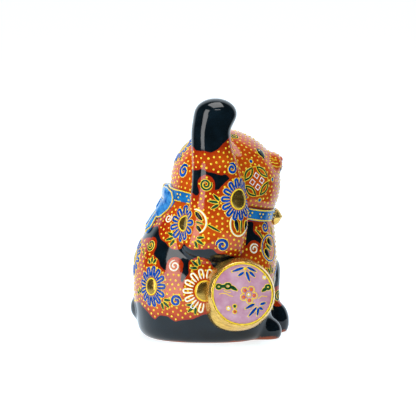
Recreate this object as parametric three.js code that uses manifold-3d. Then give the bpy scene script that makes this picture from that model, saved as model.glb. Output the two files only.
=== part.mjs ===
// Lucky cat figurine: a seated cat with its right paw raised, cast in porcelain from separate
// moulds, luted together with slip, then glazed. It wears a collar with a bell and a bow,
// and a lucky mallet leans on its right flank.
// Millimetres, +Z up, +X to the cat's front, -Y to its right. The origin is in the middle of
// the flat base, on the cat's plane of symmetry.
import * as THREE from 'three';
import { mergeVertices } from 'three/addons/utils/BufferGeometryUtils.js';
import Module from 'manifold-3d';

// Castings
const WALL = 4;
const SLIP_JOINT = 0.3;

// Body: reach to the back and the front and half width, at four heights, each a rise above the last
const HEEL_HEIGHT = 10;
const HEEL_BACK = 45;
const HEEL_FRONT = 39;
const HEEL_HALF = 41.5;
const HIP_RISE = 24;
const HIP_BACK = 47;
const HIP_FRONT = 41.5;
const HIP_HALF = 42;
const WAIST_RISE = 26;
const WAIST_BACK = 42;
const WAIST_FRONT = 40.3;
const WAIST_HALF = 36;
const NECK_RISE = 28;
const NECK_BACK = 24;
const NECK_FRONT = 36.5;
const NECK_HALF = 30.5;
const BASE_TUCK = 8;
const BODY_SQUARENESS = 2.3;
const DRAIN_X = -14;
const DRAIN_RADIUS = 6;
const VENT_RADIUS = 3;

// Raised enamel flowers on the body, each with its turn from the front towards the cat's left in
// degrees, the height of its middle, the radius of its heart and the reach of its petals
const FLOWERS = [
  [-138.5, 34, 4.7, 11.8],
  [-93, 33, 6, 13.2],
  [-114.5, 73.5, 4.6, 11],
  [62, 34, 4.6, 10.5],
  [95, 62, 4.8, 11.5],
  [140, 36, 4.8, 11.5],
  [183, 49, 4.6, 11],
];
const FLOWER_PETALS = 13;
const FLOWER_SCALLOP = 1.6;
const FLOWER_RISE = 0.6;

// Seam between body and head, lower at the front, and its height at its middle
const SEAM_X = 7;
const SEAM_BELOW_NECK = 3.8;
const SEAM_TILT = THREE.MathUtils.degToRad(15.5);

// Head: rise of its widest level above the seam, reach each way, how far its brow departs from an
// ellipse, and the muzzle in front
const HEAD_X = 8;
const HEAD_RISE = 11.8;
const HEAD_FRONT = 35.3;
const HEAD_BACK = 32;
const HEAD_HALF = 34;
const HEAD_UP = 32;
const HEAD_DOWN = 36;
const BROW_FLATTENING = 0.17;
const MUZZLE_STAND_OUT = 1.6;
const MUZZLE_ABOVE = 10.6;
const MUZZLE_HALF_LENGTH = 7.4;
const MUZZLE_HALF_WIDTH = 10;
const MUZZLE_HALF_HEIGHT = 7.6;

// Ears
const EAR_SET_BACK = 5;
const EAR_SET_IN = 18;
const EAR_HEIGHT = 14;
const EAR_HALF_WIDTH = 12;
const EAR_HALF_DEPTH = 7;
const EAR_ROOT = 7;
const EAR_RIM = 2;
const EAR_SCOOP = 4;

// Raised right arm: middle and breadth from back to front, at five heights, each a rise above the last
const ELBOW_ABOVE_WAIST = 2;
const ELBOW_DOME = 12.3;
const ELBOW_X = 1.4;
const ELBOW_BREADTH = 39;
const UPPER_ARM_RISE = 15;
const UPPER_ARM_X = 4.9;
const UPPER_ARM_BREADTH = 37.8;
const FOREARM_RISE = 28;
const FOREARM_X = 4.1;
const FOREARM_BREADTH = 30;
const WRIST_RISE = 26.5;
const WRIST_X = 0.4;
const WRIST_BREADTH = 23.6;
const PAW_RISE = 10;
const PAW_X = 3.4;
const PAW_BREADTH = 26.6;
const PAW_DOME = 10.1;
const ARM_DEPTH = 20;
const PAW_DEPTH = 22;
const ARM_STAND_OUT = 10.3;
const PAW_STAND_OUT = 11;

// Planted left foreleg and its paw
const FORELEG_Y = 13;
const FORELEG_TOP = 48;
const FORELEG_WIDTH = 18;
const FORELEG_DEPTH = 14;
const FORELEG_STAND_OUT = 4.1;
const FOREPAW_STAND_OUT = 11.3;
const FOREPAW_LENGTH = 20;
const FOREPAW_HEIGHT = 20;

// Hind feet
const FOOT_LENGTH = 24;
const FOOT_WIDTH = 18;
const FOOT_HEIGHT = 15;
const RIGHT_FOOT_Y = -15;
const RIGHT_FOOT_STAND_OUT = 7.1;
const LEFT_FOOT_Y = 29;
const LEFT_FOOT_STAND_OUT = 11.7;

// Bobbed tail
const TAIL_Y = 4;
const TAIL_HEIGHT = 17;
const TAIL_WIDTH = 16;
const TAIL_LENGTH = 18;
const TAIL_STAND_OUT = 3.4;
const TAIL_DEPTH = 14;

// Collar, bell and bow
const COLLAR_WIDTH = 7.5;
const COLLAR_PROUD = 1.6;
const COLLAR_EDGE = 0.8;
const COLLAR_SAG = 3;
const BELL_RADIUS = 5.8;
const BELL_RIDGE = 0.9;
const BELL_RIDGE_WIDTH = 2.4;
const BELL_HANG = 1.2;
const BELL_SET_IN = 1.5;
const BELL_SLOT = 1.4;
const KNOT_WIDTH = 9;
const KNOT_HEIGHT = 10;
const KNOT_DEPTH = 5;
const KNOT_DROP = 2;
const LOOP_WIDTH = 15;
const LOOP_DROP = 14;
const LOOP_BELOW_SEAM = 1;
const LOOP_SWING = THREE.MathUtils.degToRad(37);
const RIBBON_WIDTH = 7.5;
const RIBBON_DROP = 24;
const RIBBON_SWING = THREE.MathUtils.degToRad(13);
const LOOP_THICKNESS = 6;
const RIBBON_THICKNESS = 4.4;

// Lucky mallet
const MALLET_X = 17.4;
const MALLET_HEIGHT = 31.3;
const MALLET_TURN = THREE.MathUtils.degToRad(13);
const MALLET_TILT = THREE.MathUtils.degToRad(8.5);
const MALLET_STAND_OUT = 11.5;
const MALLET_RIM = 0.8;
const MALLET_BULGE = 3;
const MALLET_LENGTH = 25;
const FACE_RADIUS = 18.5;
const FACE_THICKNESS = 3;
const FACE_DOME = 1.6;
const FACE_SEAT = 2.5;

// Fineness of the facets
const BODY_SIDES = 40;
const HOLLOW_SIDES = 26;
const LIMB_SIDES = 24;
const SMALL_SIDES = 16;
const DOME_ROWS = 4;
const BODY_ROWS = 12;
const HEAD_ROWS = 24;
const HOLLOW_ROWS = 10;
const FACE_CROWDING = 0.35;
const WELD = 1e-4;

const HIP_HEIGHT = HEEL_HEIGHT + HIP_RISE;
const WAIST_HEIGHT = HIP_HEIGHT + WAIST_RISE;
const NECK_HEIGHT = WAIST_HEIGHT + NECK_RISE;
const SEAM_HEIGHT = NECK_HEIGHT - SEAM_BELOW_NECK;
const HEAD_HEIGHT = SEAM_HEIGHT + HEAD_RISE;
const ELBOW_HEIGHT = WAIST_HEIGHT + ELBOW_ABOVE_WAIST;
const UPPER_ARM_HEIGHT = ELBOW_HEIGHT + UPPER_ARM_RISE;
const FOREARM_HEIGHT = UPPER_ARM_HEIGHT + FOREARM_RISE;
const WRIST_HEIGHT = FOREARM_HEIGHT + WRIST_RISE;
const PAW_HEIGHT = WRIST_HEIGHT + PAW_RISE;

const wasm = await Module();
wasm.setup();

// Solids and lofts

function welded(geometry) {
  const bare = geometry.clone();
  bare.deleteAttribute('normal');
  bare.deleteAttribute('uv');
  return mergeVertices(bare, WELD);
}

function solid(geometry) {
  const skin = welded(geometry);
  return new wasm.Manifold(new wasm.Mesh({
    numProp: 3,
    vertProperties: skin.attributes.position.array,
    triVerts: Uint32Array.from(skin.index.array),
  }));
}

// The same form with its skin moved out by the slip joint, for trimming what is luted onto it
function clearance(geometry) {
  const skin = welded(geometry);
  skin.computeVertexNormals();
  const place = new THREE.Vector3();
  const normal = new THREE.Vector3();
  for (let i = 0; i < skin.attributes.position.count; i++) {
    normal.fromBufferAttribute(skin.attributes.normal, i);
    place.fromBufferAttribute(skin.attributes.position, i).addScaledVector(normal, SLIP_JOINT);
    skin.attributes.position.setXYZ(i, place.x, place.y, place.z);
  }
  return solid(skin);
}

// A closed skin over rings of equal count, drawn to a point before the first and after the last
function loft(rings, start, end) {
  const sides = rings[0].length;
  const points = [start, ...rings.flat(), end];
  const at = (row, side) => 1 + row * sides + (side % sides);
  const faces = [];
  for (let side = 0; side < sides; side++) {
    faces.push(0, at(0, side + 1), at(0, side));
    for (let row = 0; row + 1 < rings.length; row++) {
      faces.push(at(row, side), at(row, side + 1), at(row + 1, side));
      faces.push(at(row, side + 1), at(row + 1, side + 1), at(row + 1, side));
    }
    faces.push(points.length - 1, at(rings.length - 1, side), at(rings.length - 1, side + 1));
  }
  const geometry = new THREE.BufferGeometry().setFromPoints(points);
  geometry.setIndex(faces);
  return geometry;
}

// A smooth curve through rows of values that stand at rising heights
function profile(rows) {
  const width = rows[0].length - 1;
  const heights = rows.map((row) => row[0]);
  const values = rows.flatMap((row) => row.slice(1));
  return new THREE.CubicInterpolant(heights, values, width, new Float64Array(width));
}

function steps(from, to, count) {
  return Array.from({ length: count + 1 }, (_, i) => from + (to - from) * i / count);
}

function turns(count) {
  return steps(0, 2 * Math.PI, count).slice(0, -1);
}

function ellipsoid(centre, radii) {
  const geometry = new THREE.SphereGeometry(1, SMALL_SIDES, SMALL_SIDES / 2 + 2);
  return geometry.scale(...radii).translate(...centre);
}

// An upright limb with domed ends; levels give the middle and half size along X, then along Y
function limb(levels, bottom, low, high, top, inset, sides) {
  const quarter = Math.PI / 2;
  const ends = steps(0, quarter, DOME_ROWS);
  const heights = [
    ...ends.slice(1).map((a) => low - (low - bottom) * Math.cos(a)),
    ...steps(low, high, 2 * DOME_ROWS).slice(1, -1),
    ...ends.slice(0, -1).map((a) => high + (top - high) * Math.sin(a)),
  ];
  const ring = (height) => {
    const [x, halfX, y, halfY] = levels.evaluate(height);
    const past = Math.max((low - height) / (low - bottom), (height - high) / (top - high), 0);
    const shrink = Math.sqrt(1 - past * past);
    return turns(sides).map((a) => new THREE.Vector3(
      x + shrink * (halfX - inset) * Math.cos(a),
      y + shrink * (halfY - inset) * Math.sin(a),
      height,
    ));
  };
  const pole = (height) => {
    const [x, , y] = levels.evaluate(height);
    return new THREE.Vector3(x, y, height);
  };
  return loft(heights.map(ring), pole(bottom), pole(top));
}

// What is left of a piece once its neighbours' clearances are cut away, without loose slivers
function seated(piece, neighbours) {
  const rest = neighbours.reduce((cut, neighbour) => cut.subtract(neighbour), piece);
  return rest.decompose().sort((a, b) => b.volume() - a.volume())[0];
}

function rod(radius, from, to) {
  const along = new THREE.Vector3().subVectors(to, from);
  const geometry = new THREE.CylinderGeometry(radius, radius, along.length(), SMALL_SIDES);
  const turn = new THREE.Quaternion();
  turn.setFromUnitVectors(new THREE.Vector3(0, 1, 0), along.clone().normalize());
  const middle = from.clone().addScaledVector(along, 0.5);
  return solid(geometry.applyQuaternion(turn).translate(middle.x, middle.y, middle.z));
}

// Body

const bodyLevels = profile([
  [HEEL_HEIGHT, HEEL_BACK, HEEL_FRONT, HEEL_HALF],
  [HIP_HEIGHT, HIP_BACK, HIP_FRONT, HIP_HALF],
  [WAIST_HEIGHT, WAIST_BACK, WAIST_FRONT, WAIST_HALF],
  [NECK_HEIGHT, NECK_BACK, NECK_FRONT, NECK_HALF],
]);

function bodyReach(height) {
  const [back, front, half] = bodyLevels.evaluate(height);
  const low = Math.max(0, 1 - height / HEEL_HEIGHT);
  const tuck = BASE_TUCK * (1 - Math.sqrt(1 - low * low));
  return { back: back - tuck, front: front - tuck, half: half - tuck };
}

function squareRound(value) {
  return Math.sign(value) * Math.abs(value) ** (2 / BODY_SQUARENESS);
}

// A point of the body's outside; the angle runs from the front towards the cat's left
function bodyPoint(height, angle, inset = 0) {
  const { back, front, half } = bodyReach(height);
  const along = Math.cos(angle);
  const reach = along > 0 ? front : back;
  return new THREE.Vector3(
    squareRound(along) * (reach - inset),
    squareRound(Math.sin(angle)) * (half - inset),
    height,
  );
}

// How far out along Y the body's side lies at a given X
function flank(x, height) {
  const { front, back, half } = bodyReach(height);
  const share = Math.min(1, Math.abs(x) / (x > 0 ? front : back));
  return half * (1 - share ** BODY_SQUARENESS) ** (1 / BODY_SQUARENESS);
}

// How far forward the body's front lies at a given Y
function chest(y, height) {
  const { front, half } = bodyReach(height);
  const share = Math.min(1, Math.abs(y) / half);
  return front * (1 - share ** BODY_SQUARENESS) ** (1 / BODY_SQUARENESS);
}

function seamHeight(x) {
  return SEAM_HEIGHT - (x - SEAM_X) * Math.tan(SEAM_TILT);
}

const seamNormal = new THREE.Vector3(Math.sin(SEAM_TILT), 0, Math.cos(SEAM_TILT));
const seamOffset = seamNormal.dot(new THREE.Vector3(SEAM_X, 0, SEAM_HEIGHT));
const belowSeam = (form, past) =>
  form.trimByPlane(seamNormal.clone().negate().toArray(), -seamOffset - past);
const aboveSeam = (form, past) => form.trimByPlane(seamNormal.toArray(), seamOffset - past);

function bodyForm(inset, sides, rows) {
  const top = seamHeight(-NECK_BACK) + WALL + inset;
  const rounded = steps(0, Math.PI / 2, DOME_ROWS).map((a) => HEEL_HEIGHT * (1 - Math.cos(a)));
  const heights = [...rounded, ...steps(HEEL_HEIGHT, top, rows).slice(1)];
  const kept = [inset, ...heights.filter((height) => height > inset + SLIP_JOINT)];
  const rings = kept.map((height) => turns(sides).map((angle) => bodyPoint(height, angle, inset)));
  return loft(rings, new THREE.Vector3(0, 0, inset), new THREE.Vector3(0, 0, top));
}

const bodyOutside = bodyForm(0, BODY_SIDES, BODY_ROWS);
const bodyClear = belowSeam(clearance(bodyOutside), SLIP_JOINT);

// Mallet axis, outwards from the flank that it leans on
const malletAxis = new THREE.Vector3(
  Math.cos(MALLET_TILT) * Math.sin(MALLET_TURN),
  -Math.cos(MALLET_TILT) * Math.cos(MALLET_TURN),
  Math.sin(MALLET_TILT),
);
const malletSeat = new THREE.Vector3(MALLET_X, -flank(MALLET_X, MALLET_HEIGHT), MALLET_HEIGHT);
const armRoot = new THREE.Vector3(ELBOW_X, -flank(ELBOW_X, ELBOW_HEIGHT), ELBOW_HEIGHT);

// A low disc with petals round a domed heart, which follows the body's outside
function flowerForm([degrees, height, heart, reach]) {
  const turn = THREE.MathUtils.degToRad(degrees);
  const bodyRadius = bodyPoint(height, turn).setZ(0).length();
  const around = turns(2 * FLOWER_PETALS);
  const place = (radius, angle, rise) => bodyPoint(
    height + radius * Math.sin(angle),
    turn + radius * Math.cos(angle) / bodyRadius,
    -rise,
  );
  const edge = (rise) => around.map((a, i) => place(reach - (i % 2) * FLOWER_SCALLOP, a, rise));
  const heartRing = around.map((a) => place(heart, a, FLOWER_RISE));
  const rings = [edge(-WALL / 2), edge(FLOWER_RISE), heartRing];
  return loft(rings, place(0, 0, -WALL / 2), place(0, 0, 2 * FLOWER_RISE));
}

function makeBody() {
  const drain = rod(DRAIN_RADIUS, new THREE.Vector3(DRAIN_X, 0, -WALL),
    new THREE.Vector3(DRAIN_X, 0, 2 * WALL));
  const vents = [[malletSeat, malletAxis], [armRoot, new THREE.Vector3(0, -1, 0)]].map(
    ([place, axis]) => rod(VENT_RADIUS, place.clone().addScaledVector(axis, -2 * WALL),
      place.clone().addScaledVector(axis, WALL)),
  );
  const flowers = FLOWERS.map((flower) =>
    seated(solid(flowerForm(flower)), [armClear, malletClear]));
  return flowers.reduce((body, flower) => body.add(flower), belowSeam(solid(bodyOutside), 0))
    .subtract(solid(bodyForm(WALL, HOLLOW_SIDES, HOLLOW_ROWS)))
    .subtract(drain)
    .subtract(vents[0])
    .subtract(vents[1]);
}

// Head

function headReach(height) {
  const above = height - HEAD_HEIGHT;
  const share = Math.min(1, Math.abs(above) / (above > 0 ? HEAD_UP : HEAD_DOWN));
  const level = Math.sqrt(1 - share * share);
  return {
    back: HEAD_BACK * level - HEAD_X,
    front: HEAD_FRONT * level + HEAD_X,
    half: HEAD_HALF * level,
  };
}

function headPoint(latitude, longitude, inset) {
  const rise = Math.sin(latitude);
  const along = Math.cos(longitude);
  const power = rise > 0 && along > 0 ? 2 - BROW_FLATTENING * along : 2;
  const level = Math.max(0, 1 - Math.abs(rise) ** power) ** (1 / power);
  const x = level * along * ((along > 0 ? HEAD_FRONT : HEAD_BACK) - inset);
  const y = Math.cos(latitude) * Math.sin(longitude) * (HEAD_HALF - inset);
  const z = rise * ((rise > 0 ? HEAD_UP : HEAD_DOWN) - inset);
  return new THREE.Vector3(HEAD_X + x, y, HEAD_HEIGHT + z);
}

// Meridians stand closer together round the face
function headForm(inset, sides, rows) {
  const around = turns(sides).map((angle) => angle - FACE_CROWDING * Math.sin(angle));
  const latitudes = steps(-Math.PI / 2, Math.PI / 2, rows).slice(1, -1);
  const rings = latitudes.map((lat) => around.map((lon) => headPoint(lat, lon, inset)));
  return loft(rings, headPoint(-Math.PI / 2, 0, inset), headPoint(Math.PI / 2, 0, inset));
}

const headOutside = headForm(0, BODY_SIDES, HEAD_ROWS);
const headClear = aboveSeam(clearance(headOutside), SLIP_JOINT);

function makeHead() {
  const hollow = solid(headForm(WALL, HOLLOW_SIDES, HOLLOW_ROWS));
  const muzzle = solid(ellipsoid(
    [HEAD_X + HEAD_FRONT + MUZZLE_STAND_OUT - MUZZLE_HALF_LENGTH, 0, HEAD_HEIGHT + MUZZLE_ABOVE],
    [MUZZLE_HALF_LENGTH, MUZZLE_HALF_WIDTH, MUZZLE_HALF_HEIGHT],
  ));
  return aboveSeam(solid(headOutside), -SLIP_JOINT).add(muzzle).subtract(hollow);
}

// Raised arm

const armY = -HEAD_HALF - ARM_STAND_OUT + ARM_DEPTH / 2;
const pawY = -HEAD_HALF - PAW_STAND_OUT + PAW_DEPTH / 2;
const armLevels = profile([
  [ELBOW_HEIGHT, ELBOW_X, ELBOW_BREADTH / 2, armY, ARM_DEPTH / 2],
  [UPPER_ARM_HEIGHT, UPPER_ARM_X, UPPER_ARM_BREADTH / 2, armY, ARM_DEPTH / 2],
  [FOREARM_HEIGHT, FOREARM_X, FOREARM_BREADTH / 2, armY, ARM_DEPTH / 2],
  [WRIST_HEIGHT, WRIST_X, WRIST_BREADTH / 2, pawY, PAW_DEPTH / 2],
  [PAW_HEIGHT, PAW_X, PAW_BREADTH / 2, pawY, PAW_DEPTH / 2],
]);

function armForm(inset, sides) {
  const underside = ELBOW_HEIGHT - ELBOW_DOME + inset;
  const tip = PAW_HEIGHT + PAW_DOME - inset;
  return limb(armLevels, underside, ELBOW_HEIGHT, PAW_HEIGHT, tip, inset, sides);
}

const armOutside = armForm(0, LIMB_SIDES);
const armClear = clearance(armOutside);

function makeArm() {
  const hollow = solid(armForm(WALL, SMALL_SIDES));
  return seated(solid(armOutside).subtract(hollow), [bodyClear, headClear]);
}

// Ears, scooped at the front

function makeEar(side) {
  const x = HEAD_X - EAR_SET_BACK;
  const y = side * (HEAD_HALF - EAR_SET_IN);
  const fall = 1 - (EAR_SET_BACK / HEAD_BACK) ** 2 - ((HEAD_HALF - EAR_SET_IN) / HEAD_HALF) ** 2;
  const root = HEAD_HEIGHT + HEAD_UP * Math.sqrt(Math.max(0, fall));
  const form = (forward, thinner) => solid(limb(
    profile([
      [root - EAR_ROOT, x + forward, EAR_HALF_DEPTH, y, EAR_HALF_WIDTH - thinner],
      [root + EAR_HEIGHT, x + forward, EAR_RIM, y, EAR_RIM],
    ]),
    root - EAR_ROOT - EAR_RIM,
    root - EAR_ROOT,
    root + EAR_HEIGHT - EAR_RIM - thinner,
    root + EAR_HEIGHT - thinner,
    0,
    SMALL_SIDES,
  ));
  const scooped = form(0, 0).subtract(form(EAR_SCOOP, EAR_RIM));
  return seated(scooped, [headClear, armClear]);
}

// Legs, feet and tail

const grounded = (form) => form.trimByPlane([0, 0, 1], 0);

// A foot that stands out from the chest, with a flat sole and its widest level near the ground
function footForm(y, standOut, length, width, height) {
  const front = chest(y, HEEL_HEIGHT) + standOut;
  const widest = height / 3;
  return ellipsoid([front - length / 2, y, widest], [length / 2, width / 2, height - widest]);
}

const hindFootForm = (y, standOut) => footForm(y, standOut, FOOT_LENGTH, FOOT_WIDTH, FOOT_HEIGHT);
const rightFootForm = hindFootForm(RIGHT_FOOT_Y, RIGHT_FOOT_STAND_OUT);
const leftFootForm = hindFootForm(LEFT_FOOT_Y, LEFT_FOOT_STAND_OUT);

const forelegLevels = profile([0, FORELEG_TOP].map((height) => [
  height,
  chest(FORELEG_Y, Math.max(height, HEEL_HEIGHT)) + FORELEG_STAND_OUT - FORELEG_DEPTH / 2,
  FORELEG_DEPTH / 2,
  FORELEG_Y,
  FORELEG_WIDTH / 2,
]));
const forelegDome = FORELEG_WIDTH / 2;
const forelegForm = limb(forelegLevels, -forelegDome, 0, FORELEG_TOP - forelegDome, FORELEG_TOP, 0,
  SMALL_SIDES);
const forepawForm = footForm(FORELEG_Y, FOREPAW_STAND_OUT, FOREPAW_LENGTH, FORELEG_WIDTH, FOREPAW_HEIGHT);
const forelegClear = [clearance(forelegForm), clearance(forepawForm)];

function makeForeleg() {
  return seated(grounded(solid(forelegForm).add(solid(forepawForm))), [bodyClear]);
}

function makeFoot(form) {
  return seated(grounded(solid(form)), [bodyClear, ...forelegClear]);
}

function makeTail() {
  const centre = [
    -bodyReach(TAIL_HEIGHT).back - TAIL_STAND_OUT + TAIL_DEPTH / 2,
    TAIL_Y,
    TAIL_HEIGHT,
  ];
  const form = ellipsoid(centre, [TAIL_DEPTH / 2, TAIL_WIDTH / 2, TAIL_LENGTH / 2]);
  return seated(grounded(solid(form)), [bodyClear]);
}

// Collar, a band that covers the seam and sags a little at the nape

const neckBack = Math.max(bodyReach(seamHeight(-NECK_BACK)).back, headReach(seamHeight(-NECK_BACK)).back);
const neckFront = Math.max(bodyReach(seamHeight(NECK_FRONT)).front, headReach(seamHeight(NECK_FRONT)).front);
const neckHalf = Math.max(bodyReach(SEAM_HEIGHT).half, headReach(SEAM_HEIGHT).half);

function collarPoint(angle, above, proud) {
  const along = Math.cos(angle);
  const reach = (along > 0 ? neckFront - SEAM_X : neckBack + SEAM_X) / Math.cos(SEAM_TILT) + proud;
  const out = squareRound(along) * reach;
  const up = above - COLLAR_SAG * Math.min(0, along) ** 2;
  return new THREE.Vector3(
    SEAM_X + out * Math.cos(SEAM_TILT) + up * Math.sin(SEAM_TILT),
    squareRound(Math.sin(angle)) * (neckHalf + proud),
    SEAM_HEIGHT - out * Math.sin(SEAM_TILT) + up * Math.cos(SEAM_TILT),
  );
}

function collarForm() {
  const edge = COLLAR_WIDTH / 2;
  const rows = [
    [-edge, COLLAR_PROUD - COLLAR_EDGE],
    [COLLAR_EDGE - edge, COLLAR_PROUD],
    [edge - COLLAR_EDGE, COLLAR_PROUD],
    [edge, COLLAR_PROUD - COLLAR_EDGE],
  ];
  const rings = rows.map(([above, proud]) => turns(BODY_SIDES).map((a) => collarPoint(a, above, proud)));
  const middle = (above) => new THREE.Vector3(SEAM_X, 0, SEAM_HEIGHT).addScaledVector(seamNormal, above);
  return loft(rings, middle(-edge), middle(edge));
}

const collarOutside = collarForm();
const collarClear = clearance(collarOutside);

function makeCollar() {
  return seated(solid(collarOutside), [bodyClear, headClear, armClear]);
}

// Bell: two half spheres with a ridge where they meet, and a sound slot below

function makeBell() {
  const ridge = BELL_RADIUS + BELL_RIDGE;
  const arc = steps(0, Math.PI / 2, DOME_ROWS).slice(1, -1);
  const outline = [
    new THREE.Vector2(0, -BELL_RADIUS),
    ...arc.map((a) => new THREE.Vector2(BELL_RADIUS * Math.sin(a), -BELL_RADIUS * Math.cos(a))),
    new THREE.Vector2(BELL_RADIUS, -BELL_RIDGE_WIDTH / 2),
    new THREE.Vector2(ridge, 0),
    new THREE.Vector2(BELL_RADIUS, BELL_RIDGE_WIDTH / 2),
    ...arc.map((a) => new THREE.Vector2(BELL_RADIUS * Math.cos(a), BELL_RADIUS * Math.sin(a))),
    new THREE.Vector2(0, BELL_RADIUS),
  ];
  const collarFront = collarPoint(0, 0, COLLAR_PROUD);
  const place = [collarFront.x - BELL_SET_IN, 0, collarFront.z - BELL_HANG];
  const ball = solid(new THREE.LatheGeometry(outline, SMALL_SIDES).rotateX(Math.PI / 2).translate(...place));
  const slot = new THREE.BoxGeometry(2 * BELL_RADIUS, BELL_SLOT, BELL_RADIUS / 2);
  slot.translate(place[0] + BELL_RADIUS / 2, 0, place[2] - BELL_RADIUS);
  return seated(ball.subtract(solid(slot)), [bodyClear, headClear, collarClear]);
}

// Bow at the nape: a knot, two loops and two hanging ends, all lying on the back

const nape = collarPoint(Math.PI, -KNOT_DROP, COLLAR_PROUD);
const knotForm = ellipsoid(nape.toArray(), [KNOT_DEPTH / 2, KNOT_WIDTH / 2, KNOT_HEIGHT / 2]);
const knotClear = clearance(knotForm);

function makeKnot() {
  return seated(solid(knotForm), [bodyClear, headClear, collarClear]);
}

// A ribbon that runs from the knot over the collar and down the back to one side. Its bends give
// shares of its drop and its swing, and its spread the share of its full width, along its run
function ribbonForm(side, swing, drop, width, thickness, bends, spread) {
  const lie = (share, turn) => {
    const fall = share * drop;
    const angle = Math.PI - side * turn * swing;
    return KNOT_DROP + fall < COLLAR_WIDTH / 2
      ? collarPoint(angle, -KNOT_DROP - fall, COLLAR_PROUD)
      : bodyPoint(nape.z - fall, angle);
  };
  const path = new THREE.CatmullRomCurve3([nape, ...bends.map(([share, turn]) => lie(share, turn))]);
  const shares = steps(0, 1, 2 * DOME_ROWS);
  const rings = shares.slice(1, -1).map((share) => {
    const place = path.getPointAt(share);
    const along = path.getTangentAt(share);
    const out = new THREE.Vector3(place.x, place.y, 0).normalize();
    const across = new THREE.Vector3().crossVectors(out, along).normalize();
    const half = spread(share) * width / 2;
    return turns(SMALL_SIDES).map((a) => place.clone()
      .addScaledVector(across, half * Math.cos(a))
      .addScaledVector(out, thickness / 2 * Math.sin(a)));
  });
  return loft(rings, path.getPointAt(0), path.getPointAt(1));
}

const loopBends = [[-0.05, 0.5], [0.3, 0.62], [1, 0.42]];
const loopSpread = (share) => Math.sin(Math.PI * share ** 0.9) ** 0.5;
const tailBends = [[0.3, 0.4], [0.65, 0.8], [1, 1]];
const tailSpread = (share) => 0.5 + 0.5 * share;
const sides = { right: -1, left: 1 };
const loopForms = {};
for (const [name, side] of Object.entries(sides)) {
  loopForms[name] = ribbonForm(side, LOOP_SWING, LOOP_DROP, LOOP_WIDTH, LOOP_THICKNESS, loopBends,
    loopSpread);
}
const loopClear = Object.values(loopForms).map(clearance);

function makeLoop(name) {
  const folded = belowSeam(solid(loopForms[name]), -LOOP_BELOW_SEAM);
  return seated(folded, [bodyClear, headClear, armClear, collarClear, knotClear]);
}

function makeBowTail(side) {
  const form = ribbonForm(side, RIBBON_SWING, RIBBON_DROP, RIBBON_WIDTH, RIBBON_THICKNESS, tailBends,
    tailSpread);
  const ownHalf = solid(form).trimByPlane([0, side, 0], SLIP_JOINT / 2);
  return seated(ownHalf, [bodyClear, headClear, collarClear, knotClear, ...loopClear]);
}

// Lucky mallet: a bulging barrel, open towards the flank, with a domed face set in its mouth

const malletTurn = new THREE.Quaternion().setFromUnitVectors(new THREE.Vector3(0, 1, 0), malletAxis);
const malletPlace = malletSeat.clone().addScaledVector(malletAxis, MALLET_STAND_OUT);

function malletForm(outline) {
  const geometry = new THREE.LatheGeometry(outline, BODY_SIDES).applyQuaternion(malletTurn);
  return geometry.translate(malletPlace.x, malletPlace.y, malletPlace.z);
}

// Outer radius of the barrel, by depth behind its mouth
function barrelRadius(depth) {
  const off = 2 * depth / MALLET_LENGTH - 1;
  return FACE_RADIUS + SLIP_JOINT + MALLET_RIM + MALLET_BULGE * (1 - off * off);
}

const barrelOutline = steps(MALLET_LENGTH, 0, 2 * DOME_ROWS).map(
  (depth) => new THREE.Vector2(barrelRadius(depth), -depth),
);
const malletClear = clearance(malletForm([
  new THREE.Vector2(0, -MALLET_LENGTH),
  ...barrelOutline,
  new THREE.Vector2(0, 0),
]));

function makeBarrel() {
  const socket = FACE_RADIUS + SLIP_JOINT;
  const ledge = FACE_THICKNESS + SLIP_JOINT;
  const bore = FACE_RADIUS - FACE_SEAT;
  const outline = [
    new THREE.Vector2(bore, -MALLET_LENGTH),
    ...barrelOutline,
    new THREE.Vector2(socket, 0),
    new THREE.Vector2(socket, -ledge),
    new THREE.Vector2(bore, -ledge),
    new THREE.Vector2(bore, -MALLET_LENGTH),
  ];
  return seated(solid(malletForm(outline)), [bodyClear, armClear, clearance(rightFootForm)]);
}

function makeFace() {
  const dome = steps(0, 1, DOME_ROWS).map(
    (share) => new THREE.Vector2(FACE_RADIUS * (1 - share), FACE_DOME * share * (2 - share)),
  );
  const outline = [
    new THREE.Vector2(0, -FACE_THICKNESS),
    new THREE.Vector2(FACE_RADIUS, -FACE_THICKNESS),
    ...dome,
  ];
  return seated(solid(malletForm(outline)), [bodyClear, armClear]);
}

// Finishes

const glaze = (colour) => ({ color: colour, roughness: 0.08, metalness: 0 });
const gilding = { color: 0xb98a2e, roughness: 0.2, metalness: 0.9 };
const orange = glaze(0xc4420a);
const black = glaze(0x0c1218);
const blue = glaze(0x1f5f9e);
const pink = glaze(0xc48fb4);

function piece(name, made, finish) {
  const { vertProperties, triVerts } = made.getMesh();
  const geometry = new THREE.BufferGeometry();
  geometry.setAttribute('position', new THREE.BufferAttribute(vertProperties, 3));
  geometry.setIndex(new THREE.BufferAttribute(triVerts, 1));
  geometry.computeVertexNormals();
  const mesh = new THREE.Mesh(geometry, new THREE.MeshStandardMaterial(finish));
  mesh.name = name;
  return mesh;
}

function assembly(...members) {
  const group = new THREE.Group();
  group.add(...members);
  return group;
}

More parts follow.
